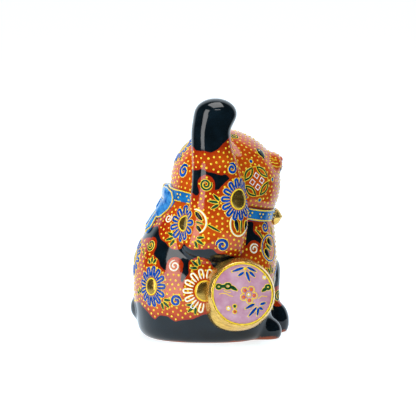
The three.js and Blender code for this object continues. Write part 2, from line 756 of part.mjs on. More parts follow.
const torso = assembly(
  piece('body_shell', makeBody(), orange),
  piece('left_foreleg', makeForeleg(), black),
  piece('right_hind_foot', makeFoot(rightFootForm), black),
  piece('left_hind_foot', makeFoot(leftFootForm), black),
  piece('tail', makeTail(), black),
);
const head = assembly(
  piece('head_shell', makeHead(), orange),
  piece('right_ear', makeEar(sides.right), orange),
  piece('left_ear', makeEar(sides.left), orange),
);
const arm = assembly(piece('raised_arm', makeArm(), orange));
const neckwear = assembly(
  piece('collar_band', makeCollar(), blue),
  piece('bell', makeBell(), gilding),
  piece('bow_knot', makeKnot(), blue),
);
for (const [name, side] of Object.entries(sides)) {
  neckwear.add(piece(`bow_${name}_loop`, makeLoop(name), blue));
  neckwear.add(piece(`bow_${name}_tail`, makeBowTail(side), blue));
}
const mallet = assembly(
  piece('mallet_barrel', makeBarrel(), gilding),
  piece('mallet_face', makeFace(), pink),
);

export default assembly(torso, head, arm, neckwear, mallet);
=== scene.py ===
"""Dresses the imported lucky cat: a glazed skin over its castings, painted patches and raised enamel."""

import cmath
import itertools
import math
import random

import bmesh
import bpy
import numpy as np
from mathutils import Matrix, Vector
from mathutils.bvhtree import BVHTree
from mathutils.kdtree import KDTree


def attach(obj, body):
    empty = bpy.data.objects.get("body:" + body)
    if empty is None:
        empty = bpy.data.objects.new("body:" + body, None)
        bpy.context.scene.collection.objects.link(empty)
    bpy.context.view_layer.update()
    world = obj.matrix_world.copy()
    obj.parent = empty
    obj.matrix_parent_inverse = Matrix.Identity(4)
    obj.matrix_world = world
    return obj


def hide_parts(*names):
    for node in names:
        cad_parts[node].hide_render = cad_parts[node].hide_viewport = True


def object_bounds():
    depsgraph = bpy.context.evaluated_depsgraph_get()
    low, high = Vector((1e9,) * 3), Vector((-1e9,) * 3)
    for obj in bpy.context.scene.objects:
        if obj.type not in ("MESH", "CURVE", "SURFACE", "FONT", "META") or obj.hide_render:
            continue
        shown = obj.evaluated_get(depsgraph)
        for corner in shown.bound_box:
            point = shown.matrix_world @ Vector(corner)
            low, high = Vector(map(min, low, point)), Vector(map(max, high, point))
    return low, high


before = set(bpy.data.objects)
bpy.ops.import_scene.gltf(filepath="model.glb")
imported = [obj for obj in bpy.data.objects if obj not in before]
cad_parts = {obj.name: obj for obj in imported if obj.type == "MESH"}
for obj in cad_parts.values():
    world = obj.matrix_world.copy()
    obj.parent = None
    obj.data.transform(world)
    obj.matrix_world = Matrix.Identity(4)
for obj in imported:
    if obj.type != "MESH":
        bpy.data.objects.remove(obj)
cad_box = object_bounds()
scene = bpy.context.scene
MM = 0.001

# Camera: a long lens, a little above the cat, on its right side

PHOTO_SIDE = 416
PIXEL = 0.619 * MM
BASE_PIXEL = 210, 334.5
VIEW_RISE = math.radians(8)
CAMERA_AWAY = 5.0
SENSOR = 36.0

look = Vector((0, math.cos(VIEW_RISE), -math.sin(VIEW_RISE)))
picture_up = Vector((0, math.sin(VIEW_RISE), math.cos(VIEW_RISE)))


def picture_point(px, py):
    """The point that a photo pixel shows on the picture plane through the middle of the base."""
    return Vector(((px - BASE_PIXEL[0]) * PIXEL, 0, 0)) + picture_up * (BASE_PIXEL[1] - py) * PIXEL


camera = bpy.data.objects.new("camera", bpy.data.cameras.new("camera"))
camera.location = picture_point(PHOTO_SIDE / 2, PHOTO_SIDE / 2) - look * CAMERA_AWAY
camera.rotation_euler = math.pi / 2 - VIEW_RISE, 0, 0
camera.data.sensor_width = SENSOR
camera.data.lens = SENSOR * CAMERA_AWAY / (PHOTO_SIDE * PIXEL)
scene.collection.objects.link(camera)
scene.camera = camera

# Finishes

RED_DEEP = 0.36, 0.022, 0.001
RED_BRIGHT = 0.6, 0.088, 0.004
BLACK = 0.0015, 0.004, 0.006
BLACK_THIN = 0.004, 0.011, 0.017
BISCUIT = 0.62, 0.52, 0.42
TERRACOTTA = 0.33, 0.065, 0.02
PATCH = "patch_edge"
# How fast, per mm from a black patch, the deeper red beside it fades: partly a rim of deeper red, partly
# painted shade
PATCH_SHADE = 0.11
EDGE_DRIFT = 0.8
EDGE_SHARPNESS = 5
STREAK_STRETCH = 0.35, 1, 1

# Sizes of clouds, grain and streaks in the glazes, and heights of their waves, in mm

RED_CLOUD = 16
BLACK_CLOUD = 7
BARE_CLOUD = 26
BRUSH_DRIFT = 3.2
FINE_GRAIN = 1.2
GLAZE_SWELL = 9
GLAZE_WAVE = 0.12
ENAMEL_WAVE = 0.06
GOLD_STREAK = 1.6
GOLD_WAVE = 0.02


class Value:
    """A shader socket: sums and products with it add Math nodes to its tree."""

    def __init__(self, socket):
        self.socket = socket

    def maths(self, operation, *values):
        return add(self.socket.id_data, "ShaderNodeMath", {"operation": operation}, dict(enumerate(values)))

    def __add__(self, other):
        return self.maths("ADD", self, other)

    def __sub__(self, other):
        return self.maths("SUBTRACT", self, other)

    def __rsub__(self, other):
        return self.maths("SUBTRACT", other, self)

    def __mul__(self, other):
        return self.maths("MULTIPLY", self, other)

    __radd__ = __add__
    __rmul__ = __mul__

    def limited(self):
        """The value, kept between 0 and 1."""
        return self.maths("MINIMUM", self.maths("MAXIMUM", self, 0.0), 1.0)


def add(tree, kind, settings, sockets, out=0):
    """Adds a node with its settings and the values or links of its sockets, and returns one output."""
    node = tree.nodes.new(kind)
    for name, setting in settings.items():
        setattr(node, name, setting)
    for name, value in sockets.items():
        if isinstance(value, Value):
            tree.links.new(value.socket, node.inputs[name])
        else:
            node.inputs[name].default_value = value
    return Value(node.outputs[out])


class Finish:
    """A node material with the few tools that every glaze and enamel here is mixed with."""

    def __init__(self, name):
        self.material = bpy.data.materials.new(name)
        self.material.use_nodes = True
        self.tree = self.material.node_tree
        self.shader = self.tree.nodes["Principled BSDF"]
        self.place = self.add("ShaderNodeTexCoord", {}, {}, out="Object")

    def add(self, kind, settings, sockets, out=0):
        return add(self.tree, kind, settings, sockets, out)

    def noise(self, size, detail=2.0, stretch=(1, 1, 1)):
        """Cloudy noise whose features are about so many mm across."""
        place = self.add("ShaderNodeMapping", {}, {"Vector": self.place, "Scale": stretch})
        fineness = 1 / (size * MM)
        return self.add("ShaderNodeTexNoise", {}, {"Vector": place, "Scale": fineness, "Detail": detail})

    def mix(self, share, first, second):
        colours = {"Factor": share, 6: first, 7: second}
        for key in (6, 7):
            if not isinstance(colours[key], Value):
                colours[key] = (*colours[key], 1)
        return self.add("ShaderNodeMix", {"data_type": "RGBA"}, colours, out=2)

    def height(self):
        """Height above the floor, in mm."""
        return self.add("ShaderNodeSeparateXYZ", {}, {0: self.place}, out=2) * (1 / MM)

    def attribute(self, name):
        return self.add("ShaderNodeAttribute", {"attribute_name": name}, {}, out="Fac")

    def bump(self, height, distance):
        return self.add("ShaderNodeBump", {}, {"Height": height, "Distance": distance * MM})

    def done(self, **sockets):
        """Sets the shader's sockets, named with _ for a space, and returns the material."""
        for name, value in sockets.items():
            socket = self.shader.inputs[name.replace("_", " ")]
            if isinstance(value, Value):
                self.tree.links.new(value.socket, socket)
            else:
                socket.default_value = (*value, 1) if isinstance(value, tuple) else value
        return self.material


def skin_glaze():
    """Iron-red and black enamel over glaze, split by the skin's patch attribute, on a bare foot."""
    f = Finish("iron_red_and_black_glaze")
    cloud, grain, drift = f.noise(RED_CLOUD), f.noise(FINE_GRAIN), f.noise(BRUSH_DRIFT)
    # The red is deeper within about 9 mm of a black patch: partly a rim of deeper red round the patches,
    # partly painted shade, as where the arm shades the body
    rim_and_shade_by_patch = (1 - f.attribute(PATCH) * PATCH_SHADE).limited()
    red = f.mix((cloud * 1.8 - 0.2 + (grain - 0.5) * 0.5 - rim_and_shade_by_patch * 0.7).limited(), RED_DEEP, RED_BRIGHT)
    black = f.mix((f.noise(BLACK_CLOUD) * 2 - 0.7).limited(), BLACK, BLACK_THIN)
    edge = f.attribute(PATCH) + (drift - 0.5) * EDGE_DRIFT
    is_red = (edge * EDGE_SHARPNESS).limited()
    paint = f.mix(is_red, black, red)
    bared = (f.noise(BARE_CLOUD) * 5 - 2.2).limited()
    glazed = (f.height() * 0.9 - 0.1 - drift * bared * 2.8).limited()
    bare = f.mix((f.height() * 3 - 0.5).limited(), BISCUIT, TERRACOTTA)
    colour = f.mix(glazed, bare, paint)
    rough = 0.05 + grain * 0.05 + (1 - glazed) * 0.5
    waves = f.bump(f.noise(GLAZE_SWELL) + grain * 0.02, GLAZE_WAVE)
    return f.done(Base_Color=colour, Roughness=rough, Normal=waves, Specular_IOR_Level=0.39)


def plain_glaze(name, deep, bright, size, rough=0.06, shine=0.5):
    """A glossy glaze or enamel of one colour, thicker and deeper here and there."""
    f = Finish(name)
    cloud, grain = f.noise(size, 3.0), f.noise(size / 6)
    colour = f.mix((cloud * 2.2 - 0.6 + (grain - 0.5) * 0.4).limited(), deep, bright)
    return f.done(Base_Color=colour, Roughness=rough + grain * 0.05, Normal=f.bump(cloud, ENAMEL_WAVE),
                  Specular_IOR_Level=shine)


def gold_lustre(name, deep, bright, metallic):
    """Fired gold, with the streaks of the brush that laid it."""
    f = Finish(name)
    streak = f.noise(GOLD_STREAK, 3.0, STREAK_STRETCH)
    colour = f.mix((streak * 2 - 0.5).limited(), deep, bright)
    return f.done(Base_Color=colour, Metallic=metallic, Roughness=0.14 + streak * 0.2,
                  Normal=f.bump(streak, GOLD_WAVE))


skin_material = skin_glaze()
enamels = {
    "yellow": plain_glaze("yellow_enamel", (0.88, 0.54, 0.015), (0.98, 0.76, 0.05), 3, 0.16, shine=0.25),
    "cobalt": plain_glaze("cobalt_enamel", (0.0005, 0.03, 0.22), (0.004, 0.078, 0.44), 4, 0.1, shine=0.2),
    "green": plain_glaze("green_enamel", (0.002, 0.03, 0.008), (0.012, 0.09, 0.02), 3, 0.1, shine=0.25),
    "white": plain_glaze("white_enamel", (0.78, 0.73, 0.7), (0.94, 0.92, 0.9), 3, 0.1, shine=0.3),
    "coral": plain_glaze("coral_enamel", (0.55, 0.07, 0.02), (0.82, 0.18, 0.05), 3, 0.1, shine=0.3),
    "black": plain_glaze("black_enamel", BLACK, BLACK_THIN, 4, 0.1, shine=0.2),
    "gold": gold_lustre("gold_lustre", (0.26, 0.15, 0.025), (0.58, 0.36, 0.08), 0.9),
}
blue_glaze = plain_glaze("blue_glaze", (0.003, 0.07, 0.32), (0.07, 0.34, 0.7), 3.2)
collar_glaze = plain_glaze("collar_glaze", (0.003, 0.07, 0.24), (0.012, 0.2, 0.52), 5)
pink_glaze = plain_glaze("pink_glaze", (0.46, 0.17, 0.26), (0.65, 0.4, 0.48), 8)
barrel_gold = gold_lustre("barrel_gold", (0.6, 0.33, 0.06), (0.92, 0.62, 0.16), 0.88)

# The skin: the castings' outsides as one glazed surface, with the joints filled by slip

SKIN_NODES = (
    "body_shell", "head_shell", "raised_arm", "right_ear", "left_ear", "left_foreleg",
    "right_hind_foot", "left_hind_foot", "tail",
)
BLACK_NODES = "left_foreleg", "right_hind_foot", "left_hind_foot", "tail"
WELD = 0.01 * MM
SLIP_FILL = 0.2 * MM
SKIN_GRAIN = 0.84 * MM
SKIN_ROUNDS = 50
GLAZE_WALL = 2 * MM
DRAIN_X = -14 * MM
DRAIN_RADIUS = 6 * MM
VENT_X = 17.4 * MM
VENT_HEIGHT = 31.3 * MM
VENT_RADIUS = 3 * MM
PLUG_DEPTH = 5 * MM
PLUG_SPARE = 1 * MM
PLUG_SIDES = 32
RIM_ANGLE = math.radians(60)
BELLY_TUCK = 2.3
BELLY_SIDES = -22, 7.5
BELLY_EASES = 14, 3
BELLY_HEIGHT = 28
BELLY_SPREAD = 14


def copied(*nodes):
    """The CAD nodes' solids in one bmesh, and the node that each face is of."""
    bm, owners = bmesh.new(), []
    for node in nodes:
        bm.from_mesh(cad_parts[node].data)
        owners += [node] * (len(bm.faces) - len(owners))
    return bm, owners


def remeshed(bm, grain):
    """Turns a bmesh into an even net of quads of that size."""
    mesh = bpy.data.meshes.new("blank")
    bm.to_mesh(mesh)
    blank = bpy.data.objects.new("blank", mesh)
    scene.collection.objects.link(blank)
    net = blank.modifiers.new("net", "REMESH")
    net.mode, net.voxel_size = "VOXEL", grain
    made = bpy.data.meshes.new_from_object(blank.evaluated_get(bpy.context.evaluated_depsgraph_get()))
    bpy.data.objects.remove(blank)
    bm.clear()
    bm.from_mesh(made)
    for spare in (mesh, made):
        bpy.data.meshes.remove(spare)


def relaxed(values, edges, rounds):
    """Moves each value half way to the mean of its neighbours, again and again."""
    near, far = edges.T
    degree = np.bincount(edges.ravel(), minlength=len(values))[:, None]
    for _ in range(rounds):
        pull = [np.bincount(near, v[far], len(v)) + np.bincount(far, v[near], len(v)) for v in values.T]
        values = (values + np.stack(pull, 1) / degree) / 2
    return values


def smoothed(bm, rounds):
    """Rounds off facets and joints, and gives back what that takes off the broad form."""
    bm.verts.index_update()
    start = np.array([v.co for v in bm.verts])
    edges = np.array([[v.index for v in e.verts] for e in bm.edges])
    soft = relaxed(start, edges, rounds)
    soft += relaxed(start - soft, edges, rounds)
    for vert, place in zip(bm.verts, soft):
        vert.co = place
        vert.co.z = max(vert.co.z, 0)
    bm.normal_update()


def outside_only(bm):
    """Deletes what isn't joined to the highest point, such as the walls of a hollow."""
    top = max(bm.verts, key=lambda v: v.co.z)
    kept, front = {top}, [top]
    while front:
        for edge in front.pop().link_edges:
            for vert in edge.verts:
                if vert not in kept:
                    kept.add(vert)
                    front.append(vert)
    bmesh.ops.delete(bm, geom=[v for v in bm.verts if v not in kept], context="VERTS")


def clipped(share):
    return min(1, max(0, share))


def tucked(place):
    """A point of the skin, with the belly drawn in beside the planted foreleg."""
    x, y, z = place / MM
    across = clipped((BELLY_SIDES[1] - y) / BELLY_EASES[1]) * clipped((y - BELLY_SIDES[0]) / BELLY_EASES[0])
    depth = BELLY_TUCK * across * math.exp(-((z - BELLY_HEIGHT) / BELLY_SPREAD) ** 2)
    return place - Vector((depth * MM, 0, 0)) if x > 0 else place


def plugged(bm, radius, matrix):
    """Stops a round hole through a casting's wall."""
    radius += PLUG_SPARE
    bmesh.ops.create_cone(bm, cap_ends=True, segments=PLUG_SIDES, radius1=radius, radius2=radius,
                          depth=PLUG_DEPTH, matrix=matrix)


def make_skin():
    """The skin, and the CAD node that each of its faces stands for."""
    bm, owners = copied(*SKIN_NODES)
    nodes = BVHTree.FromBMesh(bm)
    by_vent = Vector((VENT_X, -cad_box[1][2], VENT_HEIGHT + VENT_RADIUS + PLUG_SPARE))
    flank = nodes.ray_cast(by_vent, Vector((0, 1, 0)))[0].y
    bmesh.ops.remove_doubles(bm, verts=bm.verts, dist=WELD)
    bm.normal_update()
    for vert in bm.verts:
        vert.co += vert.normal * SLIP_FILL
    plugged(bm, DRAIN_RADIUS, Matrix.Translation((DRAIN_X, 0, PLUG_DEPTH / 2)))
    vent = Matrix.Translation((VENT_X, flank + PLUG_DEPTH / 2, VENT_HEIGHT))
    plugged(bm, VENT_RADIUS, vent @ Matrix.Rotation(math.pi / 2, 4, "X"))
    remeshed(bm, SKIN_GRAIN)
    outside_only(bm)
    smoothed(bm, SKIN_ROUNDS)
    for vert in bm.verts:
        vert.co = tucked(vert.co)
    bm.normal_update()
    bm.faces.ensure_lookup_table()
    return bm, [owners[nodes.find_nearest(face.calc_center_median())[2]] for face in bm.faces]


class Surface:
    """A surface to paint on, with the CAD node that each of its faces stands for."""

    def __init__(self, bm, owners):
        self.tree = BVHTree.FromBMesh(bm)
        self.owners = owners

    def cast(self, start, way, reach=9.0):
        place, normal, face, _ = self.tree.ray_cast(start, way, reach)
        return (place, normal, self.owners[face]) if place else None


skin, skin_owners = make_skin()
skin_surface = Surface(skin, skin_owners)


def make_piece(name, mesh, material, slot, *nodes):
    """Puts a mesh into the scene as a piece that rides on the cat and may stand for CAD nodes."""
    mesh.materials.clear()
    mesh.materials.append(material)
    mesh.polygons.foreach_set("use_smooth", [True] * len(mesh.polygons))
    mesh.set_sharp_from_angle(angle=RIM_ANGLE)
    piece = bpy.data.objects.new(name, mesh)
    scene.collection.objects.link(piece)
    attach(piece, "root")
    if nodes:
        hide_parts(*nodes)
    return piece


def from_bmesh(bm, name):
    mesh = bpy.data.meshes.new(name)
    bm.to_mesh(mesh)
    return mesh


def refined(node, grain, rounds, material, slot, reshape=None):
    """A finely rounded copy of a CAD node that replaces it, reshaped point by point, to paint on."""
    bm, _ = copied(node)
    bmesh.ops.remove_doubles(bm, verts=bm.verts, dist=WELD)
    remeshed(bm, grain)
    smoothed(bm, rounds)
    if reshape:
        for vert, place in zip(bm.verts, [reshape(v.co, v.normal) for v in bm.verts]):
            vert.co = place
        bm.normal_update()
    make_piece(f"{node}_glazed", from_bmesh(bm, node), material, slot, node)
    surface = Surface(bm, [node] * len(bm.faces))
    surface.points = [v.co.copy() for v in bm.verts]
    return surface


# The small pieces: the size of each one's net and the rounds that smooth it

COLLAR_NET = 0.45 * MM, 6
BELL_NET = 0.3 * MM, 4
BOW_NET = 0.45 * MM, 8
FACE_NET = 0.5 * MM, 8
BARREL_NET = 0.6 * MM, 14
BOW_NODES = "bow_knot", "bow_right_loop", "bow_left_loop", "bow_right_tail", "bow_left_tail"
BOW_COAT = 0.6 * MM


def thickened(place, normal):
    """A point of the bow, raised by its coat of glaze."""
    return place + normal * BOW_COAT


collar = refined("collar_band", *COLLAR_NET, collar_glaze, "glaze_blue")
refined("bell", *BELL_NET, barrel_gold, "gilding")
mallet_face = refined("mallet_face", *FACE_NET, pink_glaze, "glaze_pink")
bow = {node: refined(node, *BOW_NET, blue_glaze, "glaze_blue", thickened) for node in BOW_NODES}

# Places on a surface, and strokes of enamel laid on them. Motifs are drawn as complex numbers, in mm

LIFT = 7 * MM
EDGE_DROP = 1.5
EDGE_SLOPE = 0.35
DRAW_IN = 0.9
MEAN_RING = 0.6
MEAN_REACH = 1.5
FAR_OUT = 300 * MM
UPRIGHT = Vector((0, 0, 1))
BORDER_RISE = 0.27
LINE_RISE = 0.45
SMALL_DROP = 2
SMALL_NET = 10, 6
LARGE_NET = 24, 12
SECTION = (-1, -0.35), (-0.86, 0.5), (-0.4, 0.92), (0.4, 0.92), (0.86, 0.5), (1, -0.35)
taken = []
enamel_work = {}
clearings = []


class Spot:
    """A place for a motif, with its directions to the right and up."""

    def __init__(self, surface, place, normal, owner, up, turn=0):
        self.surface, self.place, self.normal, self.owner = surface, place, normal, owner
        self.breadth, self.one_casting = 1.0, False
        self.right = up.cross(normal).normalized()
        self.up = normal.cross(self.right)
        self.turn = cmath.rect(1, math.radians(turn))

    def lay(self, mark):
        """Where a mark of the motif lies on the surface and the normal there, or None past an edge."""
        turned = mark * self.turn
        level = self.place + (self.right * turned.real * self.breadth + self.up * turned.imag) * MM
        hit = self.surface.cast(level + self.normal * LIFT, -self.normal, 3 * LIFT)
        if not hit or (level - hit[0]).dot(self.normal) > (EDGE_DROP + EDGE_SLOPE * abs(mark)) * MM:
            return None
        return None if self.one_casting and hit[2] != self.owner else hit[:2]

    def lay_within(self, mark):
        """As lay, with a mark past an edge drawn in towards the motif's middle."""
        laid = self.lay(mark)
        return laid or self.lay_within(DRAW_IN * mark)


def ring(radius, centre=0, start=0, sweep=360, points=24):
    """Points round a circle, or along a part of one."""
    count = points if sweep == 360 else points + 1
    return [centre + cmath.rect(radius, math.radians(start + sweep * k / points)) for k in range(count)]


def found(surface, start, way, up, radius, turn):
    """The spot that a line of sight meets, with the mean normal over a motif of that radius."""
    side = way.cross(up).normalized()
    first, normal = surface.cast(start, way), Vector()
    for mark in [0, *ring(MEAN_RING * radius, points=8)]:
        hit = surface.cast(start + (side * mark.real + side.cross(way) * mark.imag) * MM, way)
        if hit and (hit[0] - first[0]).length < MEAN_REACH * radius * MM:
            normal += hit[1]
    return Spot(surface, first[0], normal.normalized(), first[2], up, turn)


def seen(px, py, radius=3, turn=0, surface=skin_surface, far=False):
    """The spot that a pixel of the photo shows, or its mirror image on the cat's left."""
    way = (picture_point(px, py) - camera.location).normalized()
    over = Vector((1, -1, 1)) if far else Vector((1, 1, 1))
    return found(surface, camera.location * over, way * over, picture_up * over, radius, turn)


def level_way(azimuth):
    """The level direction at an azimuth in degrees: 0 is the cat's front, 90 its left."""
    return Vector((math.cos(math.radians(azimuth)), math.sin(math.radians(azimuth)), 0))


def round_about(azimuth, height, radius, x=0):
    """The spot at a height, in mm, on a level line towards the upright axis at x."""
    out = level_way(azimuth)
    return found(skin_surface, Vector((x, 0, height)) * MM + out * FAR_OUT, -out, UPRIGHT, radius, 0)


def ribbon(bm, run, closed):
    """A line of enamel, rounded above, through places with their normals, half widths and rises."""
    rings = []
    for k, (place, normal, half, rise) in enumerate(run):
        before = run[k - 1 if closed else max(k - 1, 0)][0]
        after = run[(k + 1) % len(run) if closed else min(k + 1, len(run) - 1)][0]
        side = normal.cross(after - before).normalized()
        corners = [place + (side * across * half + normal * up * rise) * MM for across, up in SECTION]
        rings.append([bm.verts.new(corner) for corner in corners])
    for first, second in zip(rings, rings[1:] + rings[:1] if closed else rings[1:]):
        for i in range(len(SECTION)):
            bm.faces.new((first[i], first[i - 1], second[i - 1], second[i]))
    if not closed:
        bm.faces.new(rings[0])
        bm.faces.new(rings[-1][::-1])


def trail(owner, laid, enamel, width, height, closed=False, taper=None):
    """A raised line of enamel through places on a surface, broken where one is missing."""
    runs = [[]]
    for k, place in enumerate(laid):
        if place is None:
            runs.append([])
            continue
        share = taper(k / (len(laid) - 1)) if taper else 1
        runs[-1].append((*place, share * width / 2, share * height))
        taken.append(place[0])
    for run in runs:
        if len(run) > 1:
            ribbon(work_of(owner, enamel), run, closed and len(runs) == 1)


def work_of(owner, enamel):
    """The mesh that gathers all enamel of one colour on one piece."""
    if (owner, enamel) not in enamel_work:
        enamel_work[owner, enamel] = bmesh.new()
    return enamel_work[owner, enamel]


def stroke(spot, path, enamel, width, height, closed=False, taper=None):
    trail(spot.owner, [spot.lay(mark) for mark in path], enamel, width, height, closed, taper)


def blunt(share):
    """A line's width along it, as a share: a little thinner at both ends."""
    return min(1, 0.5 + 5 * min(share, 1 - share))


def leaf(share):
    """A leaf's width along it, as a share: widest before the middle."""
    return max(0.2, math.sin(math.pi * share ** 0.8) ** 0.7)


def outlined(spot, path, enamel, width, closed=False, taper=blunt, border=0.75):
    """A line of coloured enamel with a lower yellow line along both its edges."""
    taper = None if closed else taper
    wide_taper = taper and (lambda share: max(0.5, taper(share)))
    stroke(spot, path, "yellow", width + border, BORDER_RISE, closed, wide_taper)
    stroke(spot, path, enamel, width, LINE_RISE, closed, taper)


def claim(spot, radius):
    """Keeps the rows of dots out of a round place."""
    marks = [0] + [mark for k in range(1, int(radius) + 1) for mark in ring(k, points=6 * k)]
    taken.extend(laid[0] for laid in map(spot.lay, marks) if laid)


def cleared(spot, radius):
    """Leaves a round place iron-red where a black patch would cover it."""
    clearings.append((spot.place, radius))


def cabochon(spot, centre, radius, enamel, height, stretch=1.0):
    """A domed drop of enamel or lustre."""
    bm = work_of(spot.owner, enamel)
    sides, rows = SMALL_NET if radius < SMALL_DROP else LARGE_NET
    made = bmesh.ops.create_uvsphere(bm, u_segments=sides, v_segments=rows, radius=1)
    for vert in made["verts"]:
        place, normal = spot.lay_within(centre + radius * complex(vert.co.x, vert.co.y * stretch))
        vert.co = place + normal * vert.co.z * height * MM
        taken.append(place)


# Motifs: the traditional ones of painted porcelain, with the red margin that each keeps in a black patch

FLOWER_MARGIN = 1.4
SWIRL_MARGIN = 2.1
LEAF_MARGIN = 1.5
PETAL_FILL = 0.55
PETAL_BORDER = 0.45
SWIRL_LINES = {"cobalt": (0.58, 500, 0.7), "green": (0.38, 610, 0.7), "white": (0.27, 560, 0.3)}
SWIRL_STEPS = 26
SWIRL_EYE = 0.3
LEAF_BORDER = 0.6
LEAF_STEPS = 0, 0.17, 0.34, 0.5, 0.67, 0.84, 1
SPRIG_SPREAD = 38
SPRIG_FOOT = 1.7
SPRIG_SIDE = 0.85
EYE_HALF = 3.9
EYE_WIDTH = 6.6
EYE_RIM = 1.0


def chrysanthemum(spot, heart, reach, enamel="cobalt", petals=13, width=1.8, gap=0.9):
    """A golden heart in a wreath of looped petals."""
    half = PETAL_FILL * math.pi * (heart + reach) / 2 / petals
    end = reach - half
    for k in range(petals):
        way = cmath.rect(1, 2 * math.pi * k / petals)
        sides = [complex(heart + gap, 0.6 * half), complex((heart + end) / 2, 0.95 * half)]
        path = [s.conjugate() for s in sides] + ring(half, end, -90, 180, 6) + sides[::-1]
        outlined(spot, [mark * way for mark in path], enamel, width, border=PETAL_BORDER)
    cabochon(spot, 0, heart, "gold", 0.6)
    stroke(spot, ring(heart + 0.15), "yellow", 0.9, 0.4, closed=True)
    cleared(spot, reach + FLOWER_MARGIN)


def swirl(spot, enamel, radius, hand, start):
    """A line that winds inwards, its width a share of the radius."""
    width, sweep, border = SWIRL_LINES[enamel]
    path = []
    for k in range(SWIRL_STEPS + 1):
        share = k / SWIRL_STEPS
        reach = SWIRL_EYE + (radius - SWIRL_EYE) * (1 - share) ** 0.75
        path.append(cmath.rect(reach, math.radians(start + hand * share * sweep)))
    outlined(spot, path, enamel, width * radius, border=border)
    claim(spot, radius)
    cleared(spot, radius + SWIRL_MARGIN)


def blade(spot, foot, length, angle, enamel, width, bend=0.0):
    """One leaf that grows from a foot, with a yellow outline."""
    way = cmath.rect(1, math.radians(angle))
    path = [foot + way * complex(length * t, bend * length * t * t) for t in LEAF_STEPS]
    outlined(spot, path, enamel, width, taper=leaf, border=LEAF_BORDER)


def sprig(spot, way, length=5.4):
    """Three leaves that spread from one place."""
    for angle, share in ((way - SPRIG_SPREAD, SPRIG_SIDE), (way, 1), (way + SPRIG_SPREAD, SPRIG_SIDE)):
        blade(spot, cmath.rect(SPRIG_FOOT, math.radians(angle)), share * length, angle, "green", 2.0)
    cleared(spot, length + LEAF_MARGIN)


def leaf_between(px, py, tip_px, tip_py, enamel, width, surface=skin_surface, far=False):
    """A leaf between two pixels of the photo."""
    foot, tip = (seen(*end, 3, surface=surface, far=far) for end in ((px, py), (tip_px, tip_py)))
    run = tip.place - foot.place
    run = complex(run.dot(foot.right), run.dot(foot.up)) / MM
    blade(foot, -0.07 * run, 1.15 * abs(run), math.degrees(cmath.phase(run)), enamel, width)


def wheel(spot, radius, enamel, start=0, sweep=360, width=1.2, leaves=()):
    """A rim, or a part of one, round parallel leaves that each have a share across and a width."""
    rim = ring(radius, 0, start, sweep, max(8, sweep // 15))
    outlined(spot, rim, enamel, width, closed=sweep == 360)
    for across, leaf_enamel, leaf_width in leaves:
        blade(spot, radius * complex(across, -0.6), 1.2 * radius, 90, leaf_enamel, leaf_width * radius)
    claim(spot, radius)
    cleared(spot, radius + LEAF_MARGIN)


def lens(length, width):
    """A closed pointed oval, along the real axis."""
    bow_line = [complex(length * (k / 8 - 0.5), width / 2 * math.sin(math.pi * k / 8)) for k in range(8)]
    return bow_line + [-mark for mark in bow_line]


def seven_jewels(spot, radius):
    """Four pointed petals round a ring, with four small squares between them."""
    for k in range(4):
        way = cmath.rect(1, math.radians(90 * k + 45))
        petal = [way * (complex(radius, 0) + 1j * mark) for mark in lens(1.3 * radius, 0.5 * radius)]
        outlined(spot, petal, "green", 1.35, closed=True, border=0.7)
        middle = cmath.rect(0.48 * radius, math.radians(90 * k))
        stroke(spot, ring(0.26 * radius, middle, 0, 360, 4), "white", 0.75, 0.4, closed=True)
    stroke(spot, ring(1.22 * radius, points=36), "yellow", 0.6, 0.25, closed=True)
    claim(spot, 1.2 * radius)


def plum(spot, size, start):
    """A blossom of five coral petals, each in a yellow loop."""
    for k in range(5):
        angle = start + 72 * k
        petal = cmath.rect(size, math.radians(angle))
        cabochon(spot, petal, 1.15, "coral", 0.45)
        stroke(spot, ring(0.58 * size, petal, angle - 130, 260, 9), "yellow", 0.7, 0.28)
    cabochon(spot, 0, 0.85, "white", 0.45)
    stroke(spot, ring(1.3, points=10), "yellow", 0.6, 0.25, closed=True)


def drop(spot, enamel, radius=0.95):
    """A bead of enamel in a thin yellow ring."""
    cabochon(spot, 0, radius, enamel, 0.45)
    stroke(spot, ring(radius + 0.35, points=10), "yellow", 0.6, 0.25, closed=True)
    cleared(spot, radius + LEAF_MARGIN)


def eye(spot, slant):
    """A dark almond with a yellow rim and a light in it."""
    way = cmath.rect(1, math.radians(slant))
    path = [way * complex(EYE_HALF * k / 4, 0.5 * math.cos(math.pi * k / 8)) for k in range(-4, 5)]
    stroke(spot, path, "yellow", EYE_WIDTH + EYE_RIM, 0.2, taper=leaf)
    stroke(spot, path, "black", EYE_WIDTH, 0.42, taper=leaf)
    cabochon(spot, way * complex(-2.0, 0.2), 0.7, "white", 0.55)
    claim(spot, 3)


def facing(surface, node, outwards):
    """A spot in the middle of a flat piece, with the outline of the piece round it."""
    points = np.array(surface.points)
    middle = points.mean(0)
    normal = Vector(np.linalg.svd(points - middle, full_matrices=False)[2][2])
    if normal.dot(outwards) < 0:
        normal.negate()
    spot = Spot(surface, Vector(middle), normal, node, UPRIGHT)
    flat = (points - middle) @ np.array([spot.right, spot.up]).T / MM
    hull = []
    for angle in np.radians(np.arange(0, 360, 9)):
        reach = flat @ (math.cos(angle), math.sin(angle))
        hull.append(complex(*flat[reach.argmax()]))
    return spot, hull


# The mallet's barrel isn't quite round: shares of the radius, with their angles and spreads in degrees

BARREL_HOLLOW = -0.1, 180, 32
BARREL_SWELL = 0.075, 228, 30
BARREL_MOUTH = 2.0, 8.0
disc, disc_rim = facing(mallet_face, "mallet_face", Vector((0, -1, 0)))


